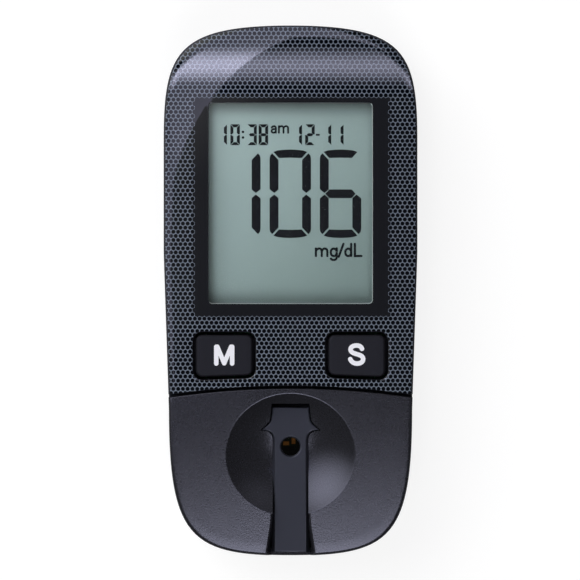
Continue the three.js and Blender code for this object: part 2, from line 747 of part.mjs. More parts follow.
function dataSocket() {
  const body = block(socketWidth, socketLength, socketLow, socketLow + socketHeight, 0, socketMiddleY);
  const mouthY = socketMiddleY + socketSheet;
  const mouth = block(socketWidth - socketSheet - socketSheet, socketLength,
    socketLow + socketSheet, socketLow + socketHeight - socketSheet, 0, mouthY);
  const middle = socketLow + socketHeight / 2;
  const tongue = block(socketTongueSide, socketLength - socketSheet,
    middle - socketTongueThickness / 2, middle + socketTongueThickness / 2,
    0, socketMiddleY - socketSheet / 2);
  return body.subtract(mouth).add(tongue);
}

function buzzer() {
  const top = onBoard + buzzerHeight;
  const hole = rod(buzzerHoleRadius, top - buzzerHoleDepth, top + overrun, 0, keyY);
  return rod(buzzerRadius, onBoard, top, 0, keyY).subtract(hole);
}

function coinCell() {
  const rimTop = cellBottom + cellRimHeight;
  const capRadius = cellRadius - cellCapInset;
  const top = cellBottom + cellHeight;
  return turned([
    [0, cellBottom], [cellRadius, cellBottom], [cellRadius, rimTop],
    [capRadius, rimTop], [capRadius, top], [0, top],
  ], 0, cellY);
}

// A leaf below the board that dips to the middle of the cell
function contactLeaf() {
  const high = boardBottom - gap;
  const plate = block(leafWidth, leafLength, high - leafThickness, high, 0, cellY);
  const dip = block(leafWidth, leafWidth, trayRoofBottom, high, 0, cellY);
  return plate.add(dip);
}

function contactPost() {
  const high = boardBottom - gap;
  const geometry = new THREE.BoxGeometry(postSide, postSide, high - cellBottom - gap);
  geometry.rotateZ(Math.PI / 4);
  return solidOf(geometry.translate(postReach, cellY + postReach, (high + cellBottom + gap) / 2));
}

function batteryCover() {
  const side = traySide - gap - gap;
  const panel = prism(roundedRectangle(side, side, trayCornerRadius, 0, cellY), doorRecess, doorTop);
  let door = panel;
  for (const x of [-doorLugSpacing / 2, doorLugSpacing / 2]) {
    const length = doorLugReach + doorLugReach;
    const low = doorRecess + doorLugLift;
    door = door.add(block(doorLugWidth, length, low, low + doorLugThickness, x, cellY + side / 2));
  }
  const gripY = cellY - side / 2 + doorGripLength / 2 + gap;
  const grip = prism(roundedRectangle(doorGripWidth, doorGripLength, trayCornerRadius, 0, gripY),
    -overrun, doorRecess + doorGripDepth);
  return door.subtract(grip);
}

// A pan-head screw seen from below, with a cross in its head
function caseScrew({ x, y }, tip) {
  const screw = turned([
    [0, screwHeadRecess], [screwHeadRadius, screwHeadRecess], [screwHeadRadius, screwHeadTop],
    [screwShankRadius, screwHeadTop], [screwShankRadius, tip], [0, tip],
  ], x, y);
  const top = screwHeadRecess + crossDepth;
  return screw.subtract(block(crossWidth, crossLength, 0, top, x, y))
    .subtract(block(crossLength, crossWidth, 0, top, x, y));
}

function boardScrew({ x, y }) {
  const headTop = onBoard + boardScrewHeadHeight;
  const tip = boardBottom - boardScrewBite;
  const screw = turned([
    [0, tip], [boardScrewRadius, tip], [boardScrewRadius, onBoard],
    [boardScrewHeadRadius, onBoard], [boardScrewHeadRadius, headTop], [0, headTop],
  ], x, y);
  const low = headTop - crossDepth;
  return screw.subtract(block(crossWidth, crossLength, low, headTop + overrun, x, y))
    .subtract(block(crossLength, crossWidth, low, headTop + overrun, x, y));
}

function microcontroller() {
  const y = windowTopY - chipPlace.reach;
  return block(chipSide, chipSide, onBoard, onBoard + chipHeight, chipPlace.x, y);
}

function memoryChip() {
  const y = windowTopY - memoryPlace.reach;
  return block(memoryWidth, memoryLength, onBoard, onBoard + memoryHeight, memoryPlace.x, y);
}

function clockCrystal() {
  const y = windowTopY - crystalPlace.reach;
  return block(crystalWidth, crystalLength, onBoard, onBoard + crystalHeight, crystalPlace.x, y);
}

// Colours and finishes
const finishes = {
  casing: { color: 0x2a2b31, roughness: 0.55, metalness: 0 },
  faceplate: { color: 0x3b3e48, roughness: 0.12, metalness: 0 },
  cover: { color: 0x45464f, roughness: 0.6, metalness: 0 },
  guide: { color: 0x383a43, roughness: 0.45, metalness: 0 },
  key: { color: 0x26262a, roughness: 0.65, metalness: 0 },
  polarizer: { color: 0x809690, roughness: 0.35, metalness: 0 },
  glass: { color: 0xb9c4c0, roughness: 0.1, metalness: 0 },
  reflector: { color: 0xa8b0ab, roughness: 0.4, metalness: 0.3 },
  frame: { color: 0xd8d8d4, roughness: 0.6, metalness: 0 },
  rubber: { color: 0x39393c, roughness: 0.85, metalness: 0 },
  board: { color: 0x1d5a38, roughness: 0.5, metalness: 0 },
  chip: { color: 0x1b1b1d, roughness: 0.55, metalness: 0 },
  can: { color: 0xb8babd, roughness: 0.3, metalness: 1 },
  black: { color: 0x141416, roughness: 0.7, metalness: 0 },
  clear: { color: 0x2a2a30, roughness: 0.05, metalness: 0 },
  die: { color: 0xd99a3a, roughness: 0.3, metalness: 0 },
  contact: { color: 0xc9a95a, roughness: 0.35, metalness: 1 },
  screw: { color: 0x6d6f73, roughness: 0.4, metalness: 1 },
};

const filmWidth = windowWidth + filmMargin + filmMargin;
const filmLow = windowLowY - filmMargin;
const filmHigh = windowTopY + filmMargin;
const filmBottom = glassTop + gap;

const pieces = [
  ["rear_shell", rearShell(), finishes.casing],
  ["front_housing", frontHousing(), finishes.casing],
  ["faceplate", faceplate(), finishes.faceplate],
  ["measuring_cover", measuringCover(), finishes.cover],
  ["strip_guide", stripGuide(), finishes.guide],
  ["button_m", key(-1), finishes.key],
  ["button_s", key(1), finishes.key],
  ["lcd_front_polarizer", pane(filmWidth, filmLow, filmHigh, filmBottom, filmBottom + filmThickness),
    finishes.polarizer],
  ["lcd_front_glass", pane(glassWidth, frontGlassLowY, glassTopY, frontGlassBottom, glassTop),
    finishes.glass],
  ["lcd_rear_glass", pane(glassWidth, rearGlassLowY, glassTopY, rearGlassBottom, rearGlassTop),
    finishes.glass],
  ["lcd_reflector", pane(glassWidth, rearGlassLowY, glassTopY, reflectorBottom, reflectorTop),
    finishes.reflector],
  ["lcd_frame", lcdFrame(), finishes.frame],
  ["lcd_connector", lcdConnector(), finishes.rubber],
  ["main_board", mainBoard(), finishes.board],
  ["microcontroller", microcontroller(), finishes.chip],
  ["memory_chip", memoryChip(), finishes.chip],
  ["clock_crystal", clockCrystal(), finishes.can],
  ["buzzer", buzzer(), finishes.black],
  ["key_switch_m", keySwitch(-1), finishes.black],
  ["key_switch_s", keySwitch(1), finishes.black],
  ["data_socket", dataSocket(), finishes.can],
  ["optics_block", opticsBlock(), finishes.black],
  ["measuring_window", measuringWindow(), finishes.clear],
  ["led_left", die(ledWidth, ledLength, ledHeight, ledLeftPlace), finishes.die],
  ["led_right", die(ledLength, ledWidth, ledHeight, ledRightPlace), finishes.die],
  ["photodiode", die(photodiodeSide, photodiodeSide, photodiodeHeight, photodiodePlace), finishes.chip],
  ["coin_cell", coinCell(), finishes.can],
  ["battery_contact_minus", contactLeaf(), finishes.contact],
  ["battery_contact_plus", contactPost(), finishes.contact],
  ["battery_cover", batteryCover(), finishes.casing],
  ...caseScrews.map((place, i) => [
    `case_screw_${i + 1}`, caseScrew(place, place.y > 0 ? screwTip : lowScrewTip), finishes.screw,
  ]),
  ...boardScrews.map((place, i) => [`board_screw_${i + 1}`, boardScrew(place), finishes.screw]),
];

const meter = new THREE.Group();
meter.name = "blood_glucose_meter";
for (const [name, solid, finish] of pieces) {
  const mesh = new THREE.Mesh(geometryOf(solid), new THREE.MeshStandardMaterial(finish));
  mesh.name = name;
  meter.add(mesh);
}

export default meter;
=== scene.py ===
"""Looks of a hand-held blood glucose meter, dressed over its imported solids.

Lengths are metres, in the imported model's own frame: +Z out of the display, +Y to the display end.
"""

import json
import math

import bmesh
import bpy
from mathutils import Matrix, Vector


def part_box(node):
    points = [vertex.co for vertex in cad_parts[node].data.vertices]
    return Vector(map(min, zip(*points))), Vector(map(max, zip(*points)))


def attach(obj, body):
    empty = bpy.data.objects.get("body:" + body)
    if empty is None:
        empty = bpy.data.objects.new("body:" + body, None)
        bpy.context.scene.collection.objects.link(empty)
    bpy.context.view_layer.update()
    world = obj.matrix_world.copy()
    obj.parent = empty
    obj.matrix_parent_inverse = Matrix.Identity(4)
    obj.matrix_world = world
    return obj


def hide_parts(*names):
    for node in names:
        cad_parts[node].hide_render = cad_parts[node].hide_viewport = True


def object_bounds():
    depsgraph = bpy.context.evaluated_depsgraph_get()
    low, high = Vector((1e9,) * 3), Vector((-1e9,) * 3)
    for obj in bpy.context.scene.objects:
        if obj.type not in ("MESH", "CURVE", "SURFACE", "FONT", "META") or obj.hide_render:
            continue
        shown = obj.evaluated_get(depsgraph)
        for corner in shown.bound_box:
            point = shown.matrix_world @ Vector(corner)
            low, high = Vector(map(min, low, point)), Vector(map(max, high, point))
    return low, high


bl_info = {
    "name": "Blood glucose meter",
    "version": (1, 0, 0),
    "blender": (4, 5, 0),
    "location": "3D View > Sidebar > Meter",
    "description": "Builds the looks of a blood glucose meter round its packed solids",
    "category": "Object",
}

MM = 0.001

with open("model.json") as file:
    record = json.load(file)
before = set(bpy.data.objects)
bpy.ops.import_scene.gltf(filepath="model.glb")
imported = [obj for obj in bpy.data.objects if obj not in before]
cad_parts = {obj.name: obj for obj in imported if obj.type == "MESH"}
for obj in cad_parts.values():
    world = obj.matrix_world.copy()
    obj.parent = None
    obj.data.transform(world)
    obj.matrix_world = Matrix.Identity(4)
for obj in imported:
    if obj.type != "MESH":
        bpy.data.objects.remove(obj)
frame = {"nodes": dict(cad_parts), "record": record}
CAD_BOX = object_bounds()

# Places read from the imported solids
HALF_WIDTH = CAD_BOX[1].x
HALF_LENGTH = CAD_BOX[1].y
FACE_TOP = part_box("faceplate")[1].z
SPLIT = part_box("rear_shell")[1].z
FRONT_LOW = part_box("front_housing")[0].z
COVER_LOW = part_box("measuring_cover")[0].z
GUIDE_LOW, GUIDE_TOP = (corner.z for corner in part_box("strip_guide"))
FILM_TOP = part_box("lcd_front_polarizer")[1].z
BOARD_LOW, BOARD_TOP = (corner.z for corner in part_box("main_board"))
DOOR_LOW, DOOR_TOP = (corner.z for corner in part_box("battery_cover"))
CELL_LOW, CELL_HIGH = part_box("coin_cell")
CELL_Y = (CELL_LOW.y + CELL_HIGH.y) / 2
SOCKET_LOW, SOCKET_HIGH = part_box("data_socket")
KEY_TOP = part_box("button_m")[1].z

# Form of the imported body, which the looks follow at a finer step
SIDE_TAPER = 0.97 * MM
TOP_CORNER_REACH = 20.8 * MM
TAPER_REACH = 42.1 * MM
LOW_CORNER_REACH = 26.9 * MM
CORNER_HANDLES = {"top_end": 0.894, "top_side": 0.77, "low_end": 0.818, "low_side": 0.885}
CROSS_CROWN = 0.9 * MM
TOP_DROP, TOP_DROP_REACH = 1.2 * MM, 28.9 * MM
LOW_DROP, LOW_DROP_REACH = 2.4 * MM, 43.9 * MM
BACK_INSET, BACK_HEIGHT = 3.5 * MM, 5.5 * MM
FRONT_RADIUS = 0.6 * MM
GAP = 0.3 * MM
WALL = 1.5 * MM
PLATE, PLATE_MARGIN, PLATE_RADIUS = 1.6 * MM, 0.25 * MM, 0.15 * MM
DECK, LOW_DECK, RIM_RADIUS = 1.3 * MM, 1.2 * MM, 0.12 * MM
JOINT_Y = 31.3 * MM - HALF_LENGTH
JOINT_RADIUS, JOINT_GAP = 153 * MM, 0.45 * MM
DISPLAY_SIDE, COVER_SIDE = 1, -1
DISH_Y = -31.2 * MM
DISH_RADIUS, DISH_DEPTH, DISH_SHARE = 11.85 * MM, 3.7 * MM, 0.94
DISH_FLOOR = FACE_TOP - 4.8 * MM
DISH_UNDER = DISH_FLOOR - 1.15 * MM
SIGHT_Y = -28.8 * MM
WINDOW = (-15.15 * MM, -2.45 * MM, 15.15 * MM, 34.65 * MM)
WINDOW_MIDDLE, WINDOW_RADIUS = ((WINDOW[0] + WINDOW[2]) / 2, (WINDOW[1] + WINDOW[3]) / 2), 0.75 * MM
KEY_X, KEY_Y = 12.2 * MM, -11.95 * MM
KEY_WIDTH, KEY_LENGTH, KEY_TILT = 10.5 * MM, 7.6 * MM, 0.35 * MM
KEY_RADIUS, KEY_GAP = 1.2 * MM, 0.45 * MM
OPTICS = (9 * MM, 11 * MM)
TRAY, TRAY_RADIUS = 21.4 * MM, 1.5 * MM
LUG_X = 5.5 * MM
SCREWS = [(15 * MM, 41.8 * MM), (-15 * MM, 41.8 * MM), (14.5 * MM, -40.5 * MM), (-14.5 * MM, -40.5 * MM)]

# Steps on round shapes
PLAN_STEPS = 240
CORNER_STEPS = 160
EDGE_STEPS = 8
FACE_STEPS = 26
LOOP_SPACING = 0.5 * MM
OVERRUN = 2 * MM

# Layout of the reading and of the key letters, at pixels of the reference picture
PIXEL = 0.1847 * MM
PICTURE_MIDDLE = 290.6
LARGE_FIGURES, LARGE_TOP = (("1", 219.4), ("0", 269.7), ("6", 319.8)), 153.1
TIME_FIGURES = (("1", 217.7), ("0", 230.6), ("3", 247.5), ("8", 258.8))
DATE_FIGURES = (("1", 292.6), ("2", 305.2), ("1", 321.7), ("1", 334.0))
SMALL_TOP = 124.6
COLON_X, COLON_ROWS = 243.2, (132.2, 137.8)
DASH_PLACE = (317.8, 135.1)
HALF_DAY_FOOT = (270.95, 133.8)
UNIT_FOOT = (314.9, 257.0)
KEY_LETTER_X, KEY_LETTER_FOOT = {-1: 224.45, 1: 356.6}, 365.9

# A cell of the honeycomb print has its centre here
PRINT_X, PRINT_Y = -13.237 * MM, 35.96 * MM


# Lines and surfaces


def points(*pairs):
    return [Vector(pair) for pair in pairs]


def mirrored(line):
    """The other half of a closed line, for its right half from the foot up."""
    return [Vector((-p.x, p.y)) for p in reversed(line)]


def lifted(line, height):
    """A line's points at one height."""
    return [Vector((p.x, p.y, height)) for p in line]


def face_height(x, y):
    """Height of the crowned face, which falls away to both ends."""
    up = max(0.0, (y - HALF_LENGTH + TOP_DROP_REACH) / TOP_DROP_REACH)
    down = max(0.0, (LOW_DROP_REACH - HALF_LENGTH - y) / LOW_DROP_REACH)
    return FACE_TOP - CROSS_CROWN * (x / HALF_WIDTH) ** 2 - TOP_DROP * up**2 - LOW_DROP * down**2


def bezier(a, b, c, d, steps):
    """Points along a cubic curve, without its last."""
    line = []
    for i in range(steps):
        t = i / steps
        s = 1 - t
        line.append(a * s**3 + b * (3 * s * s * t) + c * (3 * s * t * t) + d * t**3)
    return line


def path(nodes):
    """A line through nodes: a pair is a point, six numbers are a curve to a point, a seventh its steps."""
    line = [Vector(nodes[0])]
    for node in nodes[1:]:
        if len(node) > 2:
            steps = node[6] if len(node) > 6 else 12
            line += bezier(line[-1], *points(node[:2], node[2:4], node[4:6]), steps)[1:]
            line.append(Vector(node[4:6]))
        else:
            line.append(Vector(node))
    return line


def evenly(loop, count):
    """The same closed line with its points evenly spaced."""
    lengths = [0.0]
    for i, point in enumerate(loop):
        lengths.append(lengths[-1] + (loop[(i + 1) % len(loop)] - point).length)
    made, at = [], 0
    for i in range(count):
        goal = lengths[-1] * i / count
        while lengths[at + 1] < goal:
            at += 1
        share = (goal - lengths[at]) / (lengths[at + 1] - lengths[at])
        made.append(loop[at].lerp(loop[(at + 1) % len(loop)], share))
    return made


def divided(loop, spacing=LOOP_SPACING):
    """The same closed line with its long edges divided."""
    made = []
    for i, point in enumerate(loop):
        after = loop[(i + 1) % len(loop)]
        parts = max(1, math.ceil((after - point).length / spacing))
        made += [point.lerp(after, part / parts) for part in range(parts)]
    return made


def body_outline():
    """The outline of the body seen from the front, against the clock."""
    shares = CORNER_HANDLES
    low_half = HALF_WIDTH - SIDE_TAPER
    top_side, low_side = HALF_LENGTH - TOP_CORNER_REACH, LOW_CORNER_REACH - HALF_LENGTH
    top_handle = top_side + TOP_CORNER_REACH * shares["top_side"]
    low_handle = low_side - LOW_CORNER_REACH * shares["low_side"]
    top_x, low_x = HALF_WIDTH * shares["top_end"], low_half * shares["low_end"]
    low = points((0, -HALF_LENGTH), (low_x, -HALF_LENGTH), (low_half, low_handle), (low_half, low_side))
    top = points((HALF_WIDTH, top_side), (HALF_WIDTH, top_handle), (top_x, HALF_LENGTH), (0, HALF_LENGTH))
    taper_end = Vector((HALF_WIDTH, HALF_LENGTH - TAPER_REACH))
    right = bezier(*low, CORNER_STEPS) + [low[3], taper_end] + bezier(*top, CORNER_STEPS) + [top[3]]
    return evenly(right + mirrored(right[1:-1]), PLAN_STEPS)


OUTLINE = body_outline()


def inset_ring(inset, height, share=1.0):
    """One ring of the outline, inset, at a height or on a surface."""
    ring = []
    for p in OUTLINE:
        x, y = p.x * share * (1 - inset / HALF_WIDTH), p.y * share * (1 - inset / HALF_LENGTH)
        ring.append(Vector((x, y, height(x, y) if callable(height) else height)))
    return ring


def rounding(radius, steps, end=90):
    """Steps round an edge, from its side to its top: how far in and how far down each lies."""
    turns = [i / steps * math.radians(end) for i in range(steps + 1)]
    return [(radius * (1 - math.cos(turn)), radius * (1 - math.sin(turn))) for turn in turns]


def rounded(corners, radius, steps=8):
    """A closed line through the corners, each rounded."""
    made = []
    for i, corner in enumerate(corners):
        back = (corners[i - 1] - corner).normalized()
        on = (corners[(i + 1) % len(corners)] - corner).normalized()
        turn = math.pi - back.angle(on)
        reach, handle = radius * math.tan(turn / 2), radius * math.tan(turn / 4) * 4 / 3
        a, d = corner + back * reach, corner + on * reach
        made += bezier(a, a - back * handle, d - on * handle, d, steps) + [d] if radius > 0 else [corner]
    return made


def rectangle(width, length, radius, x=0.0, y=0.0):
    """A rounded rectangle, against the clock."""
    signs = ((-1, -1), (1, -1), (1, 1), (-1, 1))
    return rounded([Vector((x + a * width / 2, y + b * length / 2)) for a, b in signs], radius)


def circle(radius, x=0.0, y=0.0, steps=48):
    """A circle, against the clock."""
    turns = [2 * math.pi * i / steps for i in range(steps)]
    return [Vector((x + radius * math.cos(t), y + radius * math.sin(t))) for t in turns]


def outward(loop):
    """For each point of a closed line, the step that moves its edges out by 1."""
    steps = []
    for i, point in enumerate(loop):
        a, b = (point - loop[i - 1]).normalized(), (loop[(i + 1) % len(loop)] - point).normalized()
        m, n = Vector((a.y, -a.x)), Vector((b.y, -b.x))
        steps.append((m + n) / max(0.5, 1 + m.dot(n)))
    return steps


def joint_loop(side, offset):
    """A closed line round one side of the curved joint, moved off the joint towards that side."""
    radius = JOINT_RADIUS + side * offset
    half, end = HALF_WIDTH + OVERRUN, HALF_LENGTH + OVERRUN
    lean, steps = math.asin(half / radius), 96
    arc = []
    for i in range(steps + 1):
        turn = math.pi / 2 + lean - 2 * lean * i / steps
        arc.append(Vector((radius * math.cos(turn), JOINT_Y - JOINT_RADIUS + radius * math.sin(turn))))
    return divided(points((side * half, side * end), (-side * half, side * end)) + arc[::side], 4 * MM)


# Closed bodies


def skin(rings):
    """A closed mesh over rings of equal count, its two ends filled and its faces turned outwards."""
    count = len(rings[0])
    faces = [tuple(range(count)), tuple(range((len(rings) - 1) * count, len(rings) * count))]
    for r in range(len(rings) - 1):
        for i in range(count):
            j = (i + 1) % count
            faces.append((r * count + i, r * count + j, (r + 1) * count + j, (r + 1) * count + i))
    bm = bmesh.new()
    made = [bm.verts.new(p) for ring in rings for p in ring]
    for face in faces:
        bm.faces.new([made[i] for i in face])
    bmesh.ops.recalc_face_normals(bm, faces=bm.faces)
    mesh = bpy.data.meshes.new("work")
    bm.to_mesh(mesh)
    bm.free()
    return mesh


def front_rings(inset, drop, radius):
    """Rings over the rounded front edge and the crowned face."""
    rings = []
    for side, fall in rounding(radius, EDGE_STEPS):
        rings.append(inset_ring(inset + side, lambda x, y, low=drop + fall: face_height(x, y) - low))
    for i in range(1, FACE_STEPS):
        rings.append(inset_ring(inset + radius, lambda x, y: face_height(x, y) - drop, 1 - i / FACE_STEPS))
    return rings


def body_form(inset=0.0, floor=0.0, drop=0.0, radius=FRONT_RADIUS):
    """The whole outer form, or the same form inset, raised off the floor and lowered under the face."""
    rings = []
    for rise, side in rounding(1.0, EDGE_STEPS):
        rings.append(inset_ring(inset + BACK_INSET * side, floor + (BACK_HEIGHT - floor) * rise))
    return skin(rings + front_rings(inset, drop, radius))


def plate_form():
    """The faceplate's form, whose underside is the face again, lowered by its thickness."""
    under = []
    for i in range(1, FACE_STEPS + 1):
        under.append(inset_ring(PLATE_MARGIN, lambda x, y: face_height(x, y) - PLATE, i / FACE_STEPS))
    return skin(under + front_rings(PLATE_MARGIN, 0.0, PLATE_RADIUS))


def prism(loop, low, high):
    """A closed upright body on a closed line."""
    return skin([lifted(loop, low), lifted(loop, high)])


def block(width, length, low, high, x=0.0, y=0.0):
    """A box by its size, heights and middle."""
    return prism(rectangle(width, length, 0.0, x, y), low, high)


def turned(profile, x=0.0, y=0.0, steps=48):
    """A body turned about an upright axis, from radii and heights."""
    return skin([lifted(circle(radius, x, y, steps), height) for radius, height in profile])


def moved(loop, steps, by, height):
    """A ring: a line's points moved along their steps, at one height or at a height for each."""
    heights = height if isinstance(height, list) else [height] * len(loop)
    return [Vector((p.x + s.x * by, p.y + s.y * by, z)) for p, s, z in zip(loop, steps, heights)]


def opening(loop, low, radius=0.0, draft=0.0):
    """A cutter for an opening in the face: its edge is rounded by radius, and its walls close in by draft."""
    steps = outward(loop)
    rings = [moved(loop, steps, -draft, low)]
    for out, fall in rounding(radius, 5, end=75) if radius else [(0.0, 0.0)]:
        rings.append(moved(loop, steps, out, [face_height(p.x, p.y) - fall for p in loop]))
    return skin(rings + [lifted(rings[-1], FACE_TOP + OVERRUN)])


def capped(loop, low, top, radius):
    """An upright body whose top edge is rounded, with rings across its top for even shading."""
    steps = outward(loop)
    rings = [lifted(loop, low)]
    rings += [moved(loop, steps, -inset, top - fall) for inset, fall in rounding(radius, 6)]
    edge, middle = rings[-1], sum(loop, Vector((0, 0))) / len(loop)
    for share in (0.75, 0.5, 0.25, 0.05):
        rings.append(lifted([middle + (p.xy - middle) * share for p in edge], top))
    return skin(rings)


def placed(name, data):
    """An object in the scene that holds a mesh, a lamp or a camera."""
    made = bpy.data.objects.new(name, data)
    bpy.context.scene.collection.objects.link(made)
    return made


def plain_mesh(name, vertices, faces=()):
    made = bpy.data.meshes.new(name)
    made.from_pydata(vertices, [], faces)
    return made


def evaluated(holder):
    """The plain mesh that an object's modifiers give."""
    graph = bpy.context.evaluated_depsgraph_get()
    return bpy.data.meshes.new_from_object(holder.evaluated_get(graph))


def worked(base, operation, tools):
    """The mesh that is left of base after one operation with each tool."""
    holder = placed("work", base)
    used = [holder]
    for tool in tools:
        used.append(placed("tool", tool))
        cut = holder.modifiers.new("cut", "BOOLEAN")
        cut.operation, cut.solver, cut.object = operation, "MANIFOLD", used[-1]
    made = evaluated(holder)
    for each in used:
        bpy.data.objects.remove(each)
    if not made.polygons:
        raise RuntimeError("a cut left nothing of a piece")
    return made


def less(base, *tools):
    return worked(base, "DIFFERENCE", tools)


def plus(base, *tools):
    return worked(base, "UNION", tools)


def common(base, *tools):
    return worked(base, "INTERSECT", tools)


def gathered(meshes):
    """Separate closed meshes as one mesh."""
    bm = bmesh.new()
    for mesh in meshes:
        bm.from_mesh(mesh)
    made = bpy.data.meshes.new("work")
    bm.to_mesh(made)
    bm.free()
    return made


def layer(low, high=FACE_TOP + OVERRUN):
    """Everything between two heights."""
    return block(2 * HALF_WIDTH + 2 * OVERRUN, 2 * HALF_LENGTH + 2 * OVERRUN, low, high)


def side_of_joint(side, offset):
    """Everything on one side of the curved joint."""
    return prism(joint_loop(side, offset), -OVERRUN, FACE_TOP + OVERRUN)


# Finishes


def linear(code):
    """A colour written as sRGB hex, as Blender's linear values."""
    parts = [int(code[i : i + 2], 16) / 255 for i in (0, 2, 4)]
    return [p / 12.92 if p <= 0.04045 else ((p + 0.055) / 1.055) ** 2.4 for p in parts] + [1.0]


def add(tree, kind, feeds=None, **settings):
    """Adds a node with its settings; feeds are values, or what to link, by input name or number.

    A node among the feeds stands for its first output in use. Shader nodes go by the end of their name.
    """
    made = tree.nodes.new(kind if "Node" in kind else "ShaderNode" + kind)
    for name, value in settings.items():
        setattr(made, name, value)
    for name, value in (feeds or {}).items():
        if isinstance(value, bpy.types.Node):
            value = next(output for output in value.outputs if output.enabled)
        if isinstance(value, bpy.types.NodeSocket):
            tree.links.new(value, made.inputs[name])
        else:
            made.inputs[name].default_value = value
    return made


def cleared(owner):
    """The emptied node tree of a material, a world or a lamp."""
    owner.use_nodes = True
    owner.node_tree.nodes.clear()
    return owner.node_tree


def begun(name):
    """An empty material with its node tree and a place on the object."""
    material = bpy.data.materials.new(name)
    tree = cleared(material)
    return material, tree, add(tree, "TexCoord").outputs["Object"]


def ended(material, kind, feeds):
    """The material, its output fed by a shader of a kind."""
    add(material.node_tree, "OutputMaterial", {"Surface": add(material.node_tree, kind, feeds)})
    return material


def shaded(code, factor):
    """A colour made darker or lighter."""
    return [part * factor for part in linear(code)[:3]] + [1.0]


def moulded(name, code, roughness, grain=0.16, depth=0.008, change=0.12, shine=0.5, tint="e0e2ff"):
    """Moulded plastic: the tool's spark-eroded grain gives it a fine, soft sparkle and an uneven gloss.

    The grain's width and depth are in millimetres. Broad clouds of shade, 9 mm wide, are hardly visible.
    """
    material, tree, place = begun(name)
    feeds = {"Vector": place, "Scale": 1 / (grain * MM), "Detail": 3.0, "Roughness": 0.6}
    spark = add(tree, "TexNoise", feeds)
    cloud = add(tree, "TexNoise", {"Vector": place, "Scale": 1 / (9 * MM), "Detail": 2.0})
    both = add(tree, "Math", {0: spark, 1: 0.75, 2: 0.0}, operation="MULTIPLY_ADD")
    both = add(tree, "Math", {0: cloud, 1: 0.25, 2: both}, operation="MULTIPLY_ADD")
    tones = {6: shaded(code, 1 - change), 7: shaded(code, 1 + change)}
    shade = add(tree, "Mix", {"Factor": both, **tones}, data_type="RGBA")
    gloss = add(tree, "MapRange", {"Value": both, "To Min": roughness - 0.03, "To Max": roughness + 0.03})
    bump = add(tree, "Bump", {"Strength": 1.0, "Distance": depth * MM, "Height": spark})
    feeds = {"Base Color": shade, "Roughness": gloss, "IOR": 1.54, "Normal": bump}
    feeds |= {"Specular IOR Level": shine, "Specular Tint": linear(tint)}
    return ended(material, "BsdfPrincipled", feeds)


def metal(name, code, roughness, width=0.05, length=1.5, depth=0.002):
    """Drawn or plated metal: fine scratches, sized in millimetres, streak its reflections one way."""
    material, tree, place = begun(name)
    scales = (1 / (width * MM), 1 / (length * MM), 1 / (width * MM))
    stretched = add(tree, "Mapping", {"Vector": place, "Scale": scales})
    scratch = add(tree, "TexNoise", {"Vector": stretched, "Scale": 1.0, "Detail": 3.0})
    shade = add(tree, "Mix", {"Factor": scratch, 6: shaded(code, 0.85), 7: linear(code)}, data_type="RGBA")
    gloss = add(tree, "MapRange", {"Value": scratch, "To Min": roughness - 0.08, "To Max": roughness + 0.08})
    bump = add(tree, "Bump", {"Strength": 1.0, "Distance": depth * MM, "Height": scratch})
    feeds = {"Base Color": shade, "Metallic": 1.0, "Roughness": gloss, "Normal": bump}
    return ended(material, "BsdfPrincipled", feeds)


def wavy(tree, place):
    """The hardly visible waves of a moulded sheet, some 12 mm long, as a bump."""
    wave = add(tree, "TexNoise", {"Vector": place, "Scale": 1 / (12 * MM), "Detail": 1.0})
    return add(tree, "Bump", {"Strength": 1.0, "Distance": 0.004 * MM, "Height": wave})


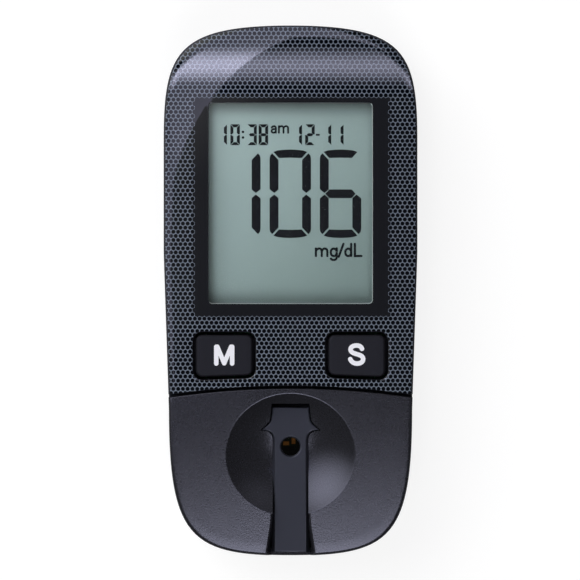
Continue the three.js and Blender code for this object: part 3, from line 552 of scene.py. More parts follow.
def honeycomb_print(sizes):
    """Hard-coated polycarbonate with a print behind it, which gives a mirror-like gloss over flat ink.

    The print is dark cells in a silver-grey mesh, and a black display border, beside which cells stay whole.
    """
    material, tree, place = begun("hard-coated printed polycarbonate")
    pitch, rows = sizes.cell_pitch, sizes.cell_pitch * math.sin(math.radians(60)) * 2
    cell, half = (pitch, rows, 1.0), (pitch / 2, rows / 2, 0.5)
    flat = add(tree, "VectorMath", {0: place, 1: (PRINT_X, PRINT_Y, 0.0)}, operation="SUBTRACT")
    flat = add(tree, "VectorMath", {0: flat, 1: (1.0, 1.0, 0.0)}, operation="MULTIPLY")

    # The cells' centres lie on two lattices, half a step apart, and the nearer one counts
    even = add(tree, "VectorMath", {0: flat, 1: half}, operation="ADD")
    even = add(tree, "VectorMath", {0: even, 1: cell}, operation="SNAP")
    odd = add(tree, "VectorMath", {0: flat, 1: cell}, operation="SNAP")
    odd = add(tree, "VectorMath", {0: odd, 1: (pitch / 2, rows / 2, 0.0)}, operation="ADD")
    to_even = add(tree, "VectorMath", {0: flat, 1: even}, operation="DISTANCE")
    to_odd = add(tree, "VectorMath", {0: flat, 1: odd}, operation="DISTANCE")
    nearer = add(tree, "Math", {0: to_odd, 1: to_even}, operation="LESS_THAN")
    distance = add(tree, "Math", {0: to_odd, 1: to_even}, operation="MINIMUM")
    centre = add(tree, "Mix", {"Factor": nearer, 4: even, 5: odd}, data_type="VECTOR")
    edge = {"From Min": sizes.cell_radius - 0.05 * MM, "From Max": sizes.cell_radius + 0.05 * MM}
    feeds = {"Value": distance, **edge, "To Min": 1.0, "To Max": 0.0}
    dot = add(tree, "MapRange", feeds, interpolation_type="SMOOTHSTEP")

    # A cell belongs to the border when its centre lies in the border's rectangle
    middle = (WINDOW_MIDDLE[0] - PRINT_X, (sizes.border_low + sizes.border_top) / 2 - PRINT_Y, 0.0)
    away = add(tree, "VectorMath", {0: centre, 1: middle}, operation="SUBTRACT")
    away = add(tree, "VectorMath", {0: away}, operation="ABSOLUTE")
    away = add(tree, "SeparateXYZ", {0: away}).outputs
    half_length = (sizes.border_top - sizes.border_low) / 2
    in_x = add(tree, "Math", {0: away[0], 1: sizes.border_half_width}, operation="LESS_THAN")
    in_y = add(tree, "Math", {0: away[1], 1: half_length}, operation="LESS_THAN")
    border = add(tree, "Math", {0: in_x, 1: in_y}, operation="MULTIPLY")
    inks = {6: linear(sizes.mesh_colour), 7: linear(sizes.cell_colour)}
    ink = add(tree, "Mix", {"Factor": dot, **inks}, data_type="RGBA")
    ink = add(tree, "Mix", {"Factor": border, 6: ink, 7: linear(sizes.border_colour)}, data_type="RGBA")

    # The mesh holds a little pearl, the cells and the border none
    pearl = add(tree, "Math", {0: 1.0, 1: dot}, operation="SUBTRACT", use_clamp=True)
    pearl = add(tree, "MapRange", {"Value": border, "To Min": pearl, "To Max": 0.0})
    pearl = add(tree, "Math", {0: pearl, 1: 0.3}, operation="MULTIPLY")
    feeds = {"Base Color": ink, "Metallic": pearl, "Roughness": 0.33, "Specular IOR Level": 0.0}
    feeds |= {"Coat Weight": 1.0, "Coat Roughness": 0.01, "Coat IOR": 1.58, "Coat Normal": wavy(tree, place)}
    return ended(material, "BsdfPrincipled", feeds)


def clear_plastic(name, tint, roughness=0.03, ior=1.49):
    """Clear acrylic: it bends light like glass, and lamps reach what lies behind it."""
    material, tree, place = begun(name)
    feeds = {"Base Color": linear(tint), "Roughness": roughness, "IOR": ior, "Transmission Weight": 1.0}
    body = add(tree, "BsdfPrincipled", {**feeds, "Normal": wavy(tree, place)})
    open_way = add(tree, "BsdfTransparent", {"Color": linear(tint)})
    rays = add(tree, "LightPath").outputs
    return ended(material, "MixShader", {0: rays["Is Shadow Ray"], 1: body, 2: open_way})


def display_film(sizes):
    """Reflective display behind its polarizer: a finely grained green-grey, with painted light at its upper
    left.
    """
    material, tree, place = begun("reflective liquid crystal display film")
    x, y = add(tree, "SeparateXYZ", {0: place}).outputs[:2]
    # Painted light: the tone runs from the shaded lower colour to the lit upper colour, paler towards the
    # upper left
    along = add(tree, "Math", {0: x, 1: -1.1, 2: y}, operation="MULTIPLY_ADD")
    fade = add(tree, "MapRange", {"Value": along, "From Min": -22 * MM, "From Max": 54 * MM})
    tones = {6: linear(sizes.film_colour_painted_dim), 7: linear(sizes.film_colour_painted_lit)}
    tone = add(tree, "Mix", {"Factor": fade, **tones}, data_type="RGBA")
    grain = add(tree, "TexNoise", {"Vector": place, "Scale": 1 / (0.35 * MM), "Detail": 2.0})
    speck = add(tree, "MapRange", {"Value": grain, "To Min": 0.96, "To Max": 1.04})
    tone = add(tree, "VectorMath", {0: tone, "Scale": speck}, operation="SCALE")
    # Painted shade: the film is darkened softly along the left and the top, for the shade of the frame round
    # it
    for across, edge, width in ((x, WINDOW[0], 2.0 * MM), (y, WINDOW[3], -3.3 * MM)):
        feeds = {"Value": across, "From Min": edge - width * 0.4, "From Max": edge + width, "To Min": 0.2}
        shade = add(tree, "MapRange", feeds, interpolation_type="SMOOTHSTEP")
        tone = add(tree, "VectorMath", {0: tone, "Scale": shade}, operation="SCALE")
    feeds = {"Base Color": tone, "Roughness": 0.45, "Specular IOR Level": 0.3}
    return ended(material, "BsdfPrincipled", feeds)


def striped_rubber():
    """Layered silicone strip of a display: carbon-black and clear layers in turn, 0.18 mm each."""
    material, tree, place = begun("layered conductive silicone rubber")
    feeds = {"Vector": place, "Scale": 1 / (0.36 * MM) / 3.2, "Distortion": 0.0}
    wave = add(tree, "TexWave", feeds, bands_direction="X").outputs["Fac"]
    tone = add(tree, "Mix", {"Factor": wave, 6: linear("17171a"), 7: linear("5e5c60")}, data_type="RGBA")
    return ended(material, "BsdfPrincipled", {"Base Color": tone, "Roughness": 0.8})


def circuit_board():
    """Glass-fibre board under green solder mask: paler lines where copper runs below it, and a fine weave."""
    material, tree, place = begun("solder-masked glass-fibre board")
    feeds = {"Vector": place, "Scale": 1.0, "Brick Width": 5.2 * MM, "Row Height": 1.3 * MM}
    feeds |= {"Color1": linear("14502e"), "Color2": linear("175a33"), "Mortar": linear("2f8a52")}
    tracks = add(tree, "TexBrick", {**feeds, "Mortar Size": 0.14 * MM}, offset=0.5)
    weave = add(tree, "TexChecker", {"Vector": place, "Scale": 1 / (0.5 * MM)}).outputs["Fac"]
    bump = add(tree, "Bump", {"Strength": 0.6, "Distance": 0.01 * MM, "Height": weave})
    feeds = {"Base Color": tracks, "Roughness": 0.38, "Normal": bump}
    return ended(material, "BsdfPrincipled", feeds)


def light_die():
    """An amber light-emitting die under clear resin, with a faint painted glow that stands in for the light
    it catches.
    """
    material, tree, place = begun("amber light-emitting die")
    grain = add(tree, "TexNoise", {"Vector": place, "Scale": 1 / (0.3 * MM), "Detail": 2.0})
    tone = add(tree, "Mix", {"Factor": grain, 6: linear("8a4a12"), 7: linear("f0c070")}, data_type="RGBA")
    feeds = {"Base Color": tone, "Roughness": 0.25, "Coat Weight": 1.0, "Coat Roughness": 0.05}
    # Painted light: the faint emission lights the die at the foot of its dark well
    feeds |= {"Emission Color": linear("c88a3c"), "Emission Strength": 0.45}
    return ended(material, "BsdfPrincipled", feeds)


def make_finishes():
    """All finishes by name, made once; those that the record's slots name also dress the inner solids."""
    scene = bpy.context.scene
    display, keys, cover = scene.meter_display, scene.meter_keys, scene.meter_cover
    guide, guide_roughness = cover.guide_colour, cover.guide_roughness
    # A moulded finish has its name, colour, roughness, grain, grain's depth, change of shade and shine, and
    # a metal its name, colour, roughness and the width and length of its scratches
    return {
        "casing": moulded("moulded ABS, casing", scene.meter_casing.colour, 0.5),
        "faceplate": honeycomb_print(scene.meter_faceplate),
        # A pale finish painted on two walls of the window as their highlight
        "faceplate_painted_highlight": moulded("moulded ABS, window edge, painted highlight", display.painted_highlight_colour, 0.4, depth=0.002),
        "faceplate_side": moulded("trimmed black polycarbonate", "0d0e11", 0.38, 0.2, 0.002),
        "pane": clear_plastic("clear acrylic, display window", "f6f8f8"),
        # The real grain is finer than a pixel, so it is drawn coarse enough to show
        "cover": moulded("moulded ABS, lower cover", cover.colour, cover.roughness, 0.28, 0.018, 0.5, 0.62),
        "guide": moulded("moulded ABS, strip guide", guide, guide_roughness, 0.3, 0.003, 0.05, 0.42),
        "key": moulded("moulded silicone, keys", keys.colour, 0.62, 0.14, 0.006, 0.1, 0.3),
        "key_ink": moulded("screen-printed ink, key letters", keys.letter_colour, 0.45, 0.2, 0.002, 0.03),
        "polarizer": display_film(display),
        "segment": moulded("liquid crystal segments", display.segment_colour, 0.5, 0.3, 0.0005, 0.05, 0.1),
        "lcd_glass": clear_plastic("display glass", "e6efec", roughness=0.02, ior=1.52),
        "reflector": metal("metallised reflector film", "b9c0bc", 0.42),
        "frame": moulded("moulded white polycarbonate, display frame", "d2d2cd", 0.5),
        "connector": striped_rubber(),
        "board": circuit_board(),
        "chip": moulded("moulded epoxy, chips", "1d1d1f", 0.5, 0.12, 0.01),
        "can": metal("nickel-plated steel", "b9bbbf", 0.28),
        "black_plastic": moulded("moulded black nylon", "141416", 0.6),
        "window": clear_plastic("smoked acrylic, measuring window", "6a6462"),
        "die": light_die(),
        "contact": metal("gold-plated phosphor bronze", "d1a85a", 0.3),
        "screw": metal("zinc-plated steel", "8b8d92", 0.36, 0.08, 0.3),
    }


# Filled by main, once the sizes and colours can be read
FINISHES = {}


# Pieces


def dressed(name, mesh, body, finishes, nodes=()):
    """Makes a finished piece of a mesh with its finishes and body, and hides the solids that it stands for.
    """
    mesh.name = name
    mesh.materials.clear()
    for finish in finishes:
        mesh.materials.append(FINISHES[finish])
    mesh.shade_smooth()
    mesh.set_sharp_from_angle(angle=math.radians(32))
    made = placed(name, mesh)
    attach(made, body)
    if nodes:
        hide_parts(*nodes)
    return made


def painted(mesh, number, chosen):
    """Gives the faces that a test picks the finish of that number."""
    for face in mesh.polygons:
        if chosen(face.center, face.normal):
            face.material_index = number


def window_loop(margin):
    """The outline of the lit display, moved out by a margin."""
    x0, y0, x1, y1 = WINDOW
    return rectangle(x1 - x0 + 2 * margin, y1 - y0 + 2 * margin, WINDOW_RADIUS + margin, *WINDOW_MIDDLE)


def key_loop(side, margin):
    """The outline of a key; its lower outer corner hangs a little below the inner one."""
    half, top = KEY_WIDTH / 2 + margin, KEY_LENGTH / 2 + margin
    corners = []
    for a, b in ((-1, -1), (1, -1), (1, 1), (-1, 1)):
        lean = 0.0 if b > 0 else KEY_TILT / 2 * (-1 if a == side else 1)
        corners.append(Vector((side * KEY_X + a * half, KEY_Y + b * top + lean)))
    return rounded(corners, KEY_RADIUS + margin)


def key_openings(low, radius=0.0):
    return [opening(divided(key_loop(side, KEY_GAP)), low, radius) for side in (-1, 1)]


def socket_opening():
    width, length, inset = SOCKET_HIGH.x - SOCKET_LOW.x + 2 * GAP, 10 * MM, 1.7 * MM
    return block(width, length, SOCKET_LOW.z - GAP, SOCKET_HIGH.z + GAP, 0.0, HALF_LENGTH - inset)


def guide_loop(rail, head, end):
    """Outline of the guide from its rail's half width, its head's margin and its end, in millimetres."""
    neck, tip, shoulder, top = -27.9, -25.75, -24.1, -21.5 + head
    out = 5.33 + head
    nodes = [(rail, end), (rail, neck), (rail, neck + 1.5, out - 1.6, tip - head, out, tip - head, 10)]
    if head:
        nodes.append((out, tip + head))
    nodes += [
        (out - 0.8, tip + 0.7 + head, 3.95 + head, shoulder - 0.4 + head, 3.72 + head, shoulder + head, 6),
        (3.6 + head, shoulder + 0.9, 3.48 + head, top - 1.0, 3.45 + head, top, 6),
    ]
    half = [p * MM for p in path(nodes)]
    return half + mirrored(half)


def channel_loop():
    """The flared mouth of the strip channel."""
    end, neck = -HALF_LENGTH / MM, 7.6 - HALF_LENGTH / MM
    half = [p * MM for p in path([(4.4, end - 2), (4.4, end), (4.0, end + 3, 3.5, neck - 2.5, 3.4, neck)])]
    return half + mirrored(half)


def dish_cutter(radius):
    """A spherical bowl, shortened along the body, whose rim is rounded where it meets the face."""
    ball = (DISH_RADIUS**2 + DISH_DEPTH**2) / (2 * DISH_DEPTH)
    turns, inner, outer, halvings = 144, 22, 6, 40

    def place(turn, reach):
        return reach * math.cos(turn), DISH_Y + reach * DISH_SHARE * math.sin(turn)

    def bowl(reach):
        return DISH_FLOOR + ball - math.sqrt(ball**2 - reach**2)

    rings = [[] for _ in range(inner + outer)]
    for i in range(turns):
        turn = 2 * math.pi * i / turns
        # The reach at which the bowl meets the face, by halving
        low, high = 4 * MM, 16 * MM
        for _ in range(halvings):
            reach = (low + high) / 2
            if bowl(reach) < face_height(*place(turn, reach)):
                low = reach
            else:
                high = reach
        start, end = reach - radius, reach + radius
        for k in range(inner):
            r = start * (k + 0.3) / (inner - 0.7)
            rings[k].append(Vector((*place(turn, r), bowl(r))))
        a, b = Vector((*place(turn, start), bowl(start))), Vector((*place(turn, reach), bowl(reach)))
        c = Vector((*place(turn, end), face_height(*place(turn, end))))
        for k in range(outer):
            # The rounding stops short of the face, so that the cutter leaves it at an angle
            t = (k + 1) / outer * 0.88
            rings[inner + k].append(a * (1 - t) ** 2 + b * (2 * t * (1 - t)) + c * t * t)
    return skin(rings + [lifted(rings[-1], FACE_TOP + OVERRUN / 2), lifted(rings[-1], FACE_TOP + OVERRUN)])


def make_rear_shell():
    """The lower casing, with its screw bosses, board posts and battery tray."""
    boss, post, post_x, post_y, post_low = 2.9 * MM, 2.2 * MM, 17.1 * MM, -13 * MM, 0.8 * MM
    tray_wall, roof_wall, bore, bore_low = 1.2 * MM, 0.7 * MM, 1.2 * MM, 1 * MM
    recess, rim, rim_height, recess_height = 2.2 * MM, 2.35 * MM, 0.12 * MM, 2.4 * MM
    lug_slot, lug_inset = (3.6 * MM, 1.5 * MM, 0.3 * MM, 2.3 * MM), 0.45 * MM
    leaf_slot, post_slot = (4 * MM, 12 * MM), (3 * MM, 3 * MM)
    shell = less(common(body_form(), layer(-OVERRUN, SPLIT)), body_form(inset=WALL, floor=WALL))
    added = [common(prism(circle(boss, x, y), 0.0, FRONT_LOW - 2 * GAP), body_form()) for x, y in SCREWS]
    added += [prism(circle(post, x, post_y), post_low, BOARD_LOW - GAP) for x in (-post_x, post_x)]
    roof, outer = CELL_HIGH.z + GAP, TRAY + 2 * tray_wall
    tray = rectangle(outer, outer, TRAY_RADIUS + tray_wall, 0.0, CELL_Y)
    added.append(prism(tray, roof_wall, roof + roof_wall))
    cuts = [prism(divided(rectangle(TRAY, TRAY, TRAY_RADIUS, 0.0, CELL_Y)), -OVERRUN, roof), socket_opening()]
    profile = [(rim, -OVERRUN), (rim, 0.0), (recess, rim_height), (recess, recess_height)]
    for x, y in SCREWS:
        cuts += [turned(profile, x, y), prism(circle(bore, x, y), bore_low, SPLIT + OVERRUN)]
    # Slots for the door's lugs, the contact leaf and the contact post
    cuts += [block(*lug_slot, x, CELL_Y + TRAY / 2 + lug_inset) for x in (-LUG_X, LUG_X)]
    heights, (low, high) = (roof - GAP, roof + 1 * MM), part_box("battery_contact_plus")
    cuts.append(block(*leaf_slot, *heights, 0.0, CELL_Y))
    cuts.append(block(*post_slot, *heights, (low.x + high.x) / 2, (low.y + high.y) / 2))
    return less(plus(shell, *added), *cuts)


def make_front_housing():
    """The upper casing: a deck under the faceplate, and a lower deck under the lower cover."""
    seam, drop, margin = GAP / 2, PLATE + GAP, 1.8 * MM
    upper = body_form(drop=drop, radius=RIM_RADIUS)
    upper = common(upper, layer(FRONT_LOW), side_of_joint(DISPLAY_SIDE, seam))
    cavity = body_form(inset=WALL, drop=drop + DECK, radius=RIM_RADIUS)
    upper = less(upper, common(cavity, side_of_joint(DISPLAY_SIDE, seam + WALL)))
    lower = layer(FRONT_LOW, FRONT_LOW + LOW_DECK)
    lower = common(body_form(), lower, side_of_joint(COVER_SIDE, -seam - WALL))
    optics = block(OPTICS[0] + 2 * GAP, OPTICS[1] + 2 * GAP, 0.0, FRONT_LOW + OVERRUN, 0.0, SIGHT_Y)
    width, length = WINDOW[2] - WINDOW[0] + 2 * margin, WINDOW[3] - WINDOW[1] + 2 * margin
    display = block(width, length, BOARD_TOP + OVERRUN, FACE_TOP, 0.0, WINDOW_MIDDLE[1])
    return less(plus(upper, lower), optics, display, socket_opening(), *key_openings(BOARD_TOP + OVERRUN))


def make_faceplate(sizes):
    """The printed plate, with a drafted edge round its window and rounded openings for the keys."""
    plate = common(plate_form(), opening(joint_loop(DISPLAY_SIDE, 0.0), 0.0))
    edge = opening(joint_loop(COVER_SIDE, 0.0), 0.0, radius=0.22 * MM)
    window = opening(divided(window_loop(0.0)), FACE_TOP - PLATE - MM, draft=sizes.edge_width)
    return less(plate, edge, window, *key_openings(0.0, radius=0.35 * MM))


def make_cover(sizes):
    """The lower cover: a thin shell and its dish's bowl, open for the guide, the slot and the channel."""
    wall, bowl_radius = 1.4 * MM, 13.15 * MM
    slot_width, slot_length, slot_y = 7.05 * MM, 0.7 * MM, -21.2 * MM
    pocket_length, pocket_height, pocket_shift = 2.5 * MM, 0.9 * MM, 0.9 * MM
    wide, narrow, gap, beyond = 3.62, 3.3, 0.12, -HALF_LENGTH / MM - 2
    outer = common(body_form(), layer(COVER_LOW))
    outer = less(outer, opening(joint_loop(DISPLAY_SIDE, -JOINT_GAP), 0.0, radius=0.25 * MM))
    inner = common(body_form(inset=wall, drop=wall), side_of_joint(COVER_SIDE, JOINT_GAP + wall))
    under = common(body_form(inset=wall, drop=wall), layer(-OVERRUN, DISH_UNDER))
    bowl = prism(circle(bowl_radius, 0.0, DISH_Y, steps=96), DISH_UNDER, FACE_TOP + OVERRUN)
    bowl = less(common(bowl, body_form(drop=wall / 2)), side_of_joint(DISPLAY_SIDE, -JOINT_GAP))
    cover = plus(less(outer, plus(inner, under)), bowl)
    pocket = (GUIDE_TOP - GAP, GUIDE_TOP + pocket_height)
    cuts = [
        dish_cutter(sizes.rim_radius),
        prism(guide_loop(wide, gap, beyond), DISH_UNDER - GAP, DISH_FLOOR + 0.25 * MM),
        opening(guide_loop(narrow, gap, beyond), DISH_FLOOR),
        block(slot_width, slot_length, -OVERRUN, FACE_TOP + OVERRUN, 0.0, slot_y),
        block(slot_width, pocket_length, *pocket, 0.0, slot_y + pocket_shift),
        opening(divided(channel_loop()), DISH_UNDER, radius=0.4 * MM, draft=1.0 * MM),
    ]
    return less(cover, *cuts)


def make_guide():
    """The strip guide: its rounded rail and head, the foot that holds it, and the round hole."""
    end, edge = 0.6 - HALF_LENGTH / MM, 0.3 * MM
    base, shoulder = guide_loop(3.5, 0.0, end), guide_loop(3.0, 0.0, end)
    rings = [lifted(base, DISH_UNDER + GAP), lifted(base, DISH_FLOOR)]
    # The rounding narrows towards the two pointed tips, where full insets would cross
    tips = [max(shoulder, key=lambda p: p.x), min(shoulder, key=lambda p: p.x)]
    reaches = [min(edge, 0.01 * MM + 0.2 * min((p - tip).length for tip in tips)) for p in shoulder]
    steps = [step * reach for step, reach in zip(outward(shoulder), reaches)]
    for inset, fall in rounding(1.0, 6)[1:]:
        rings.append(moved(shoulder, steps, -inset, GUIDE_TOP - edge * fall))
    # One more ring lies on the flat top, so that its shading stays even
    rings.append(moved(shoulder, steps, -1.15, GUIDE_TOP))
    low, high, foot_width, flange_width, flange_height = -45.5 * MM, -24.2 * MM, 6.1 * MM, 9.6 * MM, 0.5 * MM
    length, middle = high - low, (low + high) / 2
    foot = block(foot_width, length, GUIDE_LOW, DISH_UNDER + 2 * GAP, 0.0, middle)
    flange = block(flange_width, length, GUIDE_LOW, GUIDE_LOW + flange_height, 0.0, middle)
    hole, edge = 1.72 * MM, 0.38 * MM
    profile = [(hole, 0.0)] + [(hole + side, GUIDE_TOP - fall) for side, fall in rounding(edge, 6, end=80)]
    profile.append((profile[-1][0], FACE_TOP))
    return less(plus(skin(rings), foot, flange), turned(profile, 0.0, SIGHT_Y, steps=64))


# Figures and letters
LIT = {"0": "abcdef", "1": "bc", "2": "abged", "3": "abgcd", "6": "afgedc", "8": "abcdefg"}

# Letters as strokes, in millimetres from the foot of each word: nodes of a path
M_KEY = [
    [(-1.46, 0.47), (-1.46, 3.56)],
    [(-1.28, 3.56), (0.0, 0.52)],
    [(0.0, 0.52), (1.28, 3.56)],
    [(1.46, 3.56), (1.46, 0.47)],
]
S_KEY = [
    [
        (0.97, 3.18),
        (0.81, 3.58, 0.48, 3.79, 0.01, 3.79),
        (-0.67, 3.79, -1.13, 3.49, -1.13, 3.06),
        (-1.13, 2.51, -0.48, 2.35, 0.07, 2.17),
        (0.69, 1.99, 1.17, 1.83, 1.17, 1.27),
        (1.17, 0.75, 0.69, 0.46, 0.05, 0.46),
        (-0.54, 0.46, -0.97, 0.78, -1.19, 1.27),
    ]
]
UNIT = [
    [(0.18, 0.17), (0.18, 1.55)],
    [(0.18, 1.0), (0.35, 1.68, 1.26, 1.75, 1.26, 1.0), (1.26, 0.17)],
    [(1.26, 1.0), (1.4, 1.68, 2.29, 1.75, 2.29, 1.0), (2.29, 0.17)],
    [(4.02, 0.85), (4.02, 1.75, 2.92, 1.75, 2.92, 0.85), (2.92, -0.06, 4.02, -0.06, 4.02, 0.84)],
    [(4.02, 1.58), (4.02, -0.05), (4.02, -0.65, 3.2, -0.7, 2.95, -0.33)],
    [(4.39, 0.03), (5.25, 2.4)],
    [(6.68, 0.85), (6.68, 1.75, 5.6, 1.75, 5.6, 0.85), (5.6, -0.06, 6.68, -0.06, 6.68, 0.84)],
    [(6.68, 2.39), (6.68, 0.17)],
    [(7.37, 2.39), (7.37, 0.17), (8.57, 0.17)],
]
HALF_DAY = [
    [(0.17, 1.08), (0.3, 1.42, 0.93, 1.5, 0.93, 0.95), (0.93, 0.14)],
    [(0.93, 0.82), (0.6, 0.8, 0.14, 0.85, 0.14, 0.45), (0.14, 0.1, 0.7, 0.0, 0.93, 0.45)],
    [(1.49, 0.14), (1.49, 1.35)],
    [(1.49, 0.95), (1.6, 1.46, 2.33, 1.5, 2.33, 0.95), (2.33, 0.14)],
    [(2.33, 0.95), (2.45, 1.46, 3.18, 1.5, 3.18, 0.95), (3.18, 0.14)],
]


def figure(name, bar, side, middle, width, mid, x, y):
    """Segments of a digit at its upper left corner, from its top bar, its upper left side and its middle."""
    right = [(width - a, b) for a, b in side]
    low = [[(a, 2 * mid - b) for a, b in shape] for shape in (right, bar, side)]
    shapes = dict(zip("abcdefg", (bar, right, *low, side, middle)))
    return [[Vector((x + a * MM, y + b * MM)) for a, b in shapes[segment]] for segment in LIT[name]]


def large_figure(name, x, y, width=7.63, mid=-7.54):
    """A large digit, mitred and bowed."""
    side = [(0.48, -0.08), (1.64, -1.3), (1.64, -6.75), (0.87, -7.4), (0.0, -6.7), (0.0, -1.0), (0.12, -0.5)]
    bar = [(0.7, 0.18), (1.72, -0.95), (width / 2, -0.88), (width - 1.72, -0.95), (width - 0.7, 0.18)]
    bar += [(width - 1.5, 0.45), (width - 2.6, 0.57), (width / 2, 0.62), (2.6, 0.57), (1.5, 0.45)]
    middle = [(1.0, mid), (1.75, mid - 0.8), (width - 1.75, mid - 0.8)]
    middle += [(width - 1.05, mid), (width - 1.75, mid + 0.8), (1.75, mid + 0.8)]
    return figure(name, bar, side, middle, width, mid, x, y)


def small_figure(name, stroke, x, y, width=1.75, height=3.85):
    """A small digit, mitred."""
    s, w, gap = stroke / MM, width, 0.06
    mid, half = -height / 2, s / 2
    side = [(0, -gap), (s, -s - gap), (s, mid + half + gap), (half, mid + gap), (0, mid + gap)]
    bar = [(gap, 0), (s + gap, -s), (w - s - gap, -s), (w - gap, 0)]
    middle = [(half, mid), (s, mid - half), (w - s, mid - half)]
    middle += [(w - half, mid), (w - s, mid + half), (s, mid + half)]
    return figure(name, bar, side, middle, w, mid, x, y)


def stroke(nodes, width, x, y):
    """The closed outline of a stroke with round ends, from the nodes of its path."""
    line = path(nodes)
    sides = []
    for way in (line, line[::-1]):
        for i, point in enumerate(way):
            back = (point - way[i - 1]).normalized() if i else (way[1] - point).normalized()
            on = (way[i + 1] - point).normalized() if i < len(way) - 1 else back
            m, n = Vector((back.y, -back.x)), Vector((on.y, -on.x))
            sides.append(point + (m + n) / max(0.6, 1 + m.dot(n)) * width / 2)
        for k in range(1, 8):
            turn = math.pi * k / 8
            sides.append(way[-1] + (n * math.cos(turn) + on * math.sin(turn)) * width / 2)
    return [Vector((x + p.x * MM, y + p.y * MM)) for p in sides]


def lettering(strokes, width, x, y, low, high):
    """Letters as one closed mesh between two heights, their foot at a place."""
    first, *others = [prism(stroke(nodes, width, x, y), low, high) for nodes in strokes]
    return plus(first, *others) if others else first


def from_picture(x, y):
    """A place on the body, from a pixel of the reference picture."""
    return (x - PICTURE_MIDDLE) * PIXEL, (PICTURE_MIDDLE - y) * PIXEL


# Sizes and colours that can be set in the sidebar


def length(name, description, size):
    return bpy.props.FloatProperty(name=name, description=description, default=size * MM, unit="LENGTH")


def colour(name, code):
    description = f"sRGB hex value of the {name.lower()}"
    return bpy.props.StringProperty(name=name, description=description, default=code)


def factor(name, description, value):
    kind = {"min": 0.0, "max": 1.0, "subtype": "FACTOR"}
    return bpy.props.FloatProperty(name=name, description=description, default=value, **kind)


def power(name, watts):
    description = f"Power of the {name.lower()}"
    return bpy.props.FloatProperty(name=name, description=description, default=watts, unit="POWER")


def brightness(name, value):
    return bpy.props.FloatProperty(name=name, description=f"Brightness of the {name.lower()}", default=value)


class CasingSizes(bpy.types.PropertyGroup):
    colour: colour("Casing colour", "1e1f23")


class FaceplateSizes(bpy.types.PropertyGroup):
    cell_pitch: length("Cell pitch", "Distance between the cells of the honeycomb print", 0.8795)
    cell_radius: length("Cell radius", "Radius of a dark cell", 0.378)
    border_half_width: length("Border half width", "From the middle to the side of the black border", 18.0)
    border_top: length("Border top", "Upper edge of the black border", 35.6)
    border_low: length("Border low", "Lower edge of the black border", -4.5)
    edge_width: length("Window edge", "Width of the drafted edge round the display", 0.2)
    mesh_colour: colour("Mesh colour", "767f8d")
    cell_colour: colour("Cell colour", "02040b")
    border_colour: colour("Border colour", "1a1b20")


class DisplaySizes(bpy.types.PropertyGroup):
    # Painted light: the display is paler towards its upper left, between these two colours
    film_colour_painted_lit: colour("Display colour with painted light", "abbebd")
    film_colour_painted_dim: colour("Display colour with painted shade", "6a7b79")
    segment_colour: colour("Segment colour", "0d0f11")
    # Colour of the painted highlight on the window's right and lower walls
    painted_highlight_colour: colour("Window edge painted highlight colour", "e6eeec")
    stroke: length("Small stroke", "Stroke of the small digits", 0.56)


class KeySizes(bpy.types.PropertyGroup):
    edge_radius: length("Edge radius", "Rounding of the key tops", 0.5)
    colour: colour("Key colour", "0c0c0e")
    letter_colour: colour("Letter colour", "f6f6fc")


class CoverSizes(bpy.types.PropertyGroup):
    colour: colour("Cover colour", "222226")
    guide_colour: colour("Guide colour", "272930")
    roughness: factor("Cover roughness", "Roughness of the lower cover", 0.21)
    guide_roughness: factor("Guide roughness", "Roughness of the strip guide", 0.33)
    rim_radius: length("Dish rim radius", "Rounding of the rim of the dish", 0.16)


class BackSizes(bpy.types.PropertyGroup):
    ribs: bpy.props.IntProperty(
        name="Grip ribs", description="Ribs in the grip of the door", default=4, min=1
    )
    rib_spacing: length("Rib spacing", "Distance between the ribs", 0.72)
    rib_radius: length("Rib radius", "Radius of a rib", 0.2)


class StageSizes(bpy.types.PropertyGroup):
    picture_width: length("Picture width", "Width of the picture at the height of the face", 107.1)
    camera_height: length("Camera height", "Height of the camera above the floor", 2000.0)
    key_power: power("Key lamp", 24.0)
    fill_power: power("Fill lamp", 4.9)
    side_power: power("Side lamp", 0.6)
    back_power: power("Back lamp", 20.0)
    panel_light: brightness("Light panel", 1.6)
    strip_light: brightness("Strip light", 3.9)
    room_light: brightness("Room light", 0.05)
    paper_lift: factor("Paper lift", "White that the paper shows beyond what the lamps give it", 0.82)


# Steps of the build, each an operator


class METER_OT_casing(bpy.types.Operator):
    """Builds the rear shell and the front housing"""

    bl_idname = "meter.casing"
    bl_label = "Casing"

    def execute(self, context):
        dressed("rear_casing", make_rear_shell(), "root", ["casing"], ["rear_shell"])
        dressed("front_casing", make_front_housing(), "root", ["casing"], ["front_housing"])
        return {"FINISHED"}


class METER_OT_faceplate(bpy.types.Operator):
    """Builds the printed faceplate and its clear window"""

    bl_idname = "meter.faceplate"
    bl_label = "Faceplate"

    def execute(self, context):
        x0, y0, x1, y1 = WINDOW
        reach = 0.4 * MM

        # Painted highlight: picks the window walls that face the upper left, where the lamps would light them
        def lit_edge_painted(centre, normal):
            inside = x0 - reach < centre.x < x1 + reach and y0 - reach < centre.y < y1 + reach
            return inside and abs(normal.z) < 0.5 and (normal.x < -0.5 or normal.y > 0.5)

        plate = make_faceplate(context.scene.meter_faceplate)
        finishes = ["faceplate", "faceplate_painted_highlight", "faceplate_side"]
        made = dressed("printed_faceplate", plate, "root", finishes, ["faceplate"])
        # The print lies on the face alone. Painted highlight: the window's right and lower walls take a pale
        # finish, as if lit from the upper left
        painted(made.data, 2, lambda centre, normal: normal.z < 0.8)
        painted(made.data, 1, lit_edge_painted)
        pane = common(plate_form(), prism(divided(window_loop(-0.02 * MM)), 0.0, FACE_TOP + OVERRUN))
        dressed("display_window", pane, "root", ["pane"])
        return {"FINISHED"}


